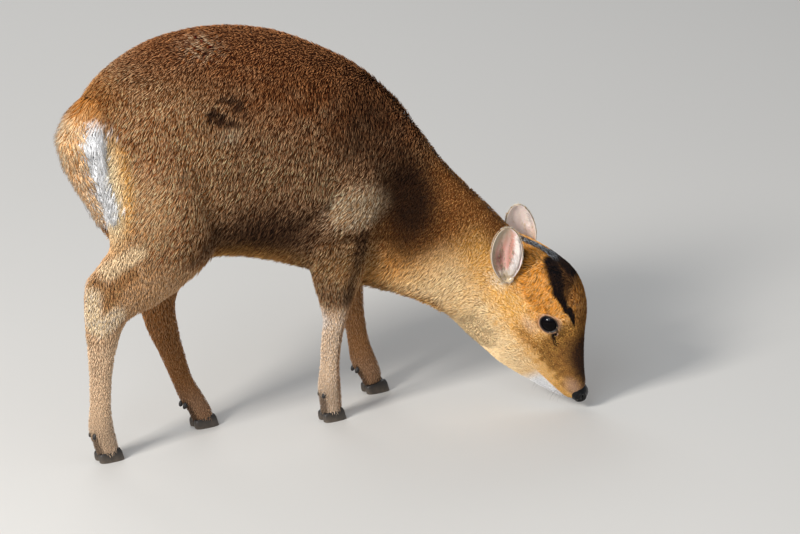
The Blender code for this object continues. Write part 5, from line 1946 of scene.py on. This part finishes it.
class MUNTJAC_OT_bristles(bpy.types.Operator):
    """Grow whiskers on the lips and lashes on the upper lids"""
    bl_idname = "muntjac.bristles"
    bl_label = "Whiskers and lashes"

    def execute(self, context):
        details = context.scene.muntjac_details
        material, shader = new_material("Whisker", 0.4, 0.5)
        add_ticking(shader, {"Colour": (*details.whisker, 1.0)})
        tree, names = bristle_tree()
        draw = np.random.default_rng(context.scene.muntjac_coat.seed + 3)
        places, aims, reaches = [], [], []
        for side in (1, -1):
            for _ in range(details.lashes_per_eye):
                x, z = almond(math.radians(draw.uniform(18, 150)), 0.99)
                reach = math.hypot(x, z) / (EYE_RADIUS * 1.32)
                drop = EYE_RADIUS * math.sqrt(max(0.05, 1 - reach * reach)) + 0.0006
                places.append((EYE_PLACE.x + x, side * (EYE_PLACE.y + drop), EYE_PLACE.z + z))
                aims.append((x * 60 + draw.normal() * 0.1, side * 0.55,
                             z * 60 + 0.25 + draw.normal() * 0.1))
                reaches.append(0.0058)
        lashes = grow_bristles("lashes", places, aims, reaches, tree, names,
                               {"Thickness": 0.020, "Bend": 0.25, "Variation": 0.35, "Seed": 3},
                               material)
        finish_piece(lashes, material)
        places, aims, reaches = [], [], []
        for side in (1, -1):
            for _ in range(details.whiskers_per_side):
                share = draw.random()
                x = -0.008 - 0.034 * share
                z = -0.010 - 0.010 * draw.random() + 0.004 * share
                y = 0.0125 + 0.0045 * share
                places.append((x, side * y, z))
                aims.append((0.25 * draw.normal() - 0.2, side * 1.0, -0.35 + 0.35 * draw.normal()))
                reaches.append(0.015 + 0.008 * draw.random())
            for _ in range(8):
                x = -0.010 - 0.030 * draw.random()
                places.append((x, side * 0.005, -0.021 + x * 0.4))
                aims.append((0.2 * draw.normal(), side * 0.5, -1.0))
                reaches.append(0.010 + 0.005 * draw.random())
        whiskers = grow_bristles("whiskers", places, aims, reaches, tree, names,
                                 {"Thickness": 0.008, "Bend": 0.3, "Variation": 0.4, "Seed": 5},
                                 material)
        finish_piece(whiskers, material)
        return {"FINISHED"}


# The stage
class MUNTJAC_OT_stage(bpy.types.Operator):
    """Lay the pale floor and set the lights and the camera"""
    bl_idname = "muntjac.stage"
    bl_label = "Stage"

    def execute(self, context):
        stage = context.scene.muntjac_stage
        shape = bmesh.new()
        half = stage.floor_size / 2
        corners = [shape.verts.new((x * half, y * half, 0.0))
                   for x, y in ((-1, -1), (1, -1), (1, 1), (-1, 1))]
        shape.faces.new(corners)
        floor = object_from("floor", shape)
        material, shader = new_material("Floor", 0.85, 0.2)
        shader.inputs["Base Color"].default_value = (*stage.floor, 1.0)
        floor.data.materials.append(material)

        target = Vector((0.130, 0.0, 0.171)) + SHIFT
        self.light("key", (-3.4, -1.35, 2.35), target, stage.key_power, 0.9, (1.0, 0.965, 0.92))
        self.light("broad", (-2.9, -2.5, 3.0), target, stage.soft_power, 2.2, (0.86, 0.93, 1.0))
        self.light("back", (0.6, 3.0, 2.6), target, stage.back_power, 2.0, (1.0, 1.0, 1.0))
        world = context.scene.world or bpy.data.worlds.new("World")
        context.scene.world = world
        world.use_nodes = True
        ground = world.node_tree.nodes["Background"]
        ground.inputs["Color"].default_value = (0.92, 0.95, 1.0, 1.0)
        ground.inputs["Strength"].default_value = stage.sky
        context.scene.view_settings.view_transform = "Standard"

        yaw, pitch = stage.camera_yaw, stage.camera_pitch
        back = Vector((math.sin(yaw) * math.cos(pitch), -math.cos(yaw) * math.cos(pitch),
                       math.sin(pitch)))
        data = bpy.data.cameras.new("camera")
        data.lens = stage.lens
        data.sensor_width = 36.0
        data.sensor_fit = "HORIZONTAL"
        data.clip_end = 50.0
        camera = add_object("camera", data)
        camera.location = target + back * stage.camera_distance
        camera.rotation_euler = (-back).to_track_quat("-Z", "Y").to_euler()
        context.scene.camera = camera
        return {"FINISHED"}

    def light(self, name, place, target, power, size, colour):
        data = bpy.data.lights.new(name, "AREA")
        data.energy = power
        data.size = size
        data.color = colour
        item = add_object(name, data)
        item.location = place
        item.rotation_euler = (target - Vector(place)).to_track_quat("-Z", "Y").to_euler()


class MUNTJAC_PT_panel(bpy.types.Panel):
    """Lists the steps that build the muntjac"""
    bl_idname = "MUNTJAC_PT_panel"
    bl_label = "Muntjac"
    bl_space_type = "VIEW_3D"
    bl_region_type = "UI"
    bl_category = "Muntjac"

    def draw(self, context):
        for operator in STEPS:
            self.layout.operator(operator.bl_idname)


STEPS = (MUNTJAC_OT_skin, MUNTJAC_OT_coat, MUNTJAC_OT_tail, MUNTJAC_OT_ears, MUNTJAC_OT_eyes,
         MUNTJAC_OT_nose, MUNTJAC_OT_hooves, MUNTJAC_OT_bristles, MUNTJAC_OT_stage)
SETTINGS = (("muntjac_skin", MuntjacSkinSettings), ("muntjac_coat", MuntjacCoatSettings),
            ("muntjac_details", MuntjacDetailSettings), ("muntjac_stage", MuntjacStageSettings))


def register():
    for name, kind in SETTINGS:
        bpy.utils.register_class(kind)
        setattr(bpy.types.Scene, name, bpy.props.PointerProperty(type=kind))
    for kind in STEPS + (MUNTJAC_PT_panel,):
        bpy.utils.register_class(kind)


def unregister():
    for kind in reversed(STEPS + (MUNTJAC_PT_panel,)):
        bpy.utils.unregister_class(kind)
    for name, kind in reversed(SETTINGS):
        delattr(bpy.types.Scene, name)
        bpy.utils.unregister_class(kind)


def main():
    register()
    for operator in STEPS:
        group, name = operator.bl_idname.split(".")
        getattr(getattr(bpy.ops, group), name)()


if __name__ == "__main__":
    main()
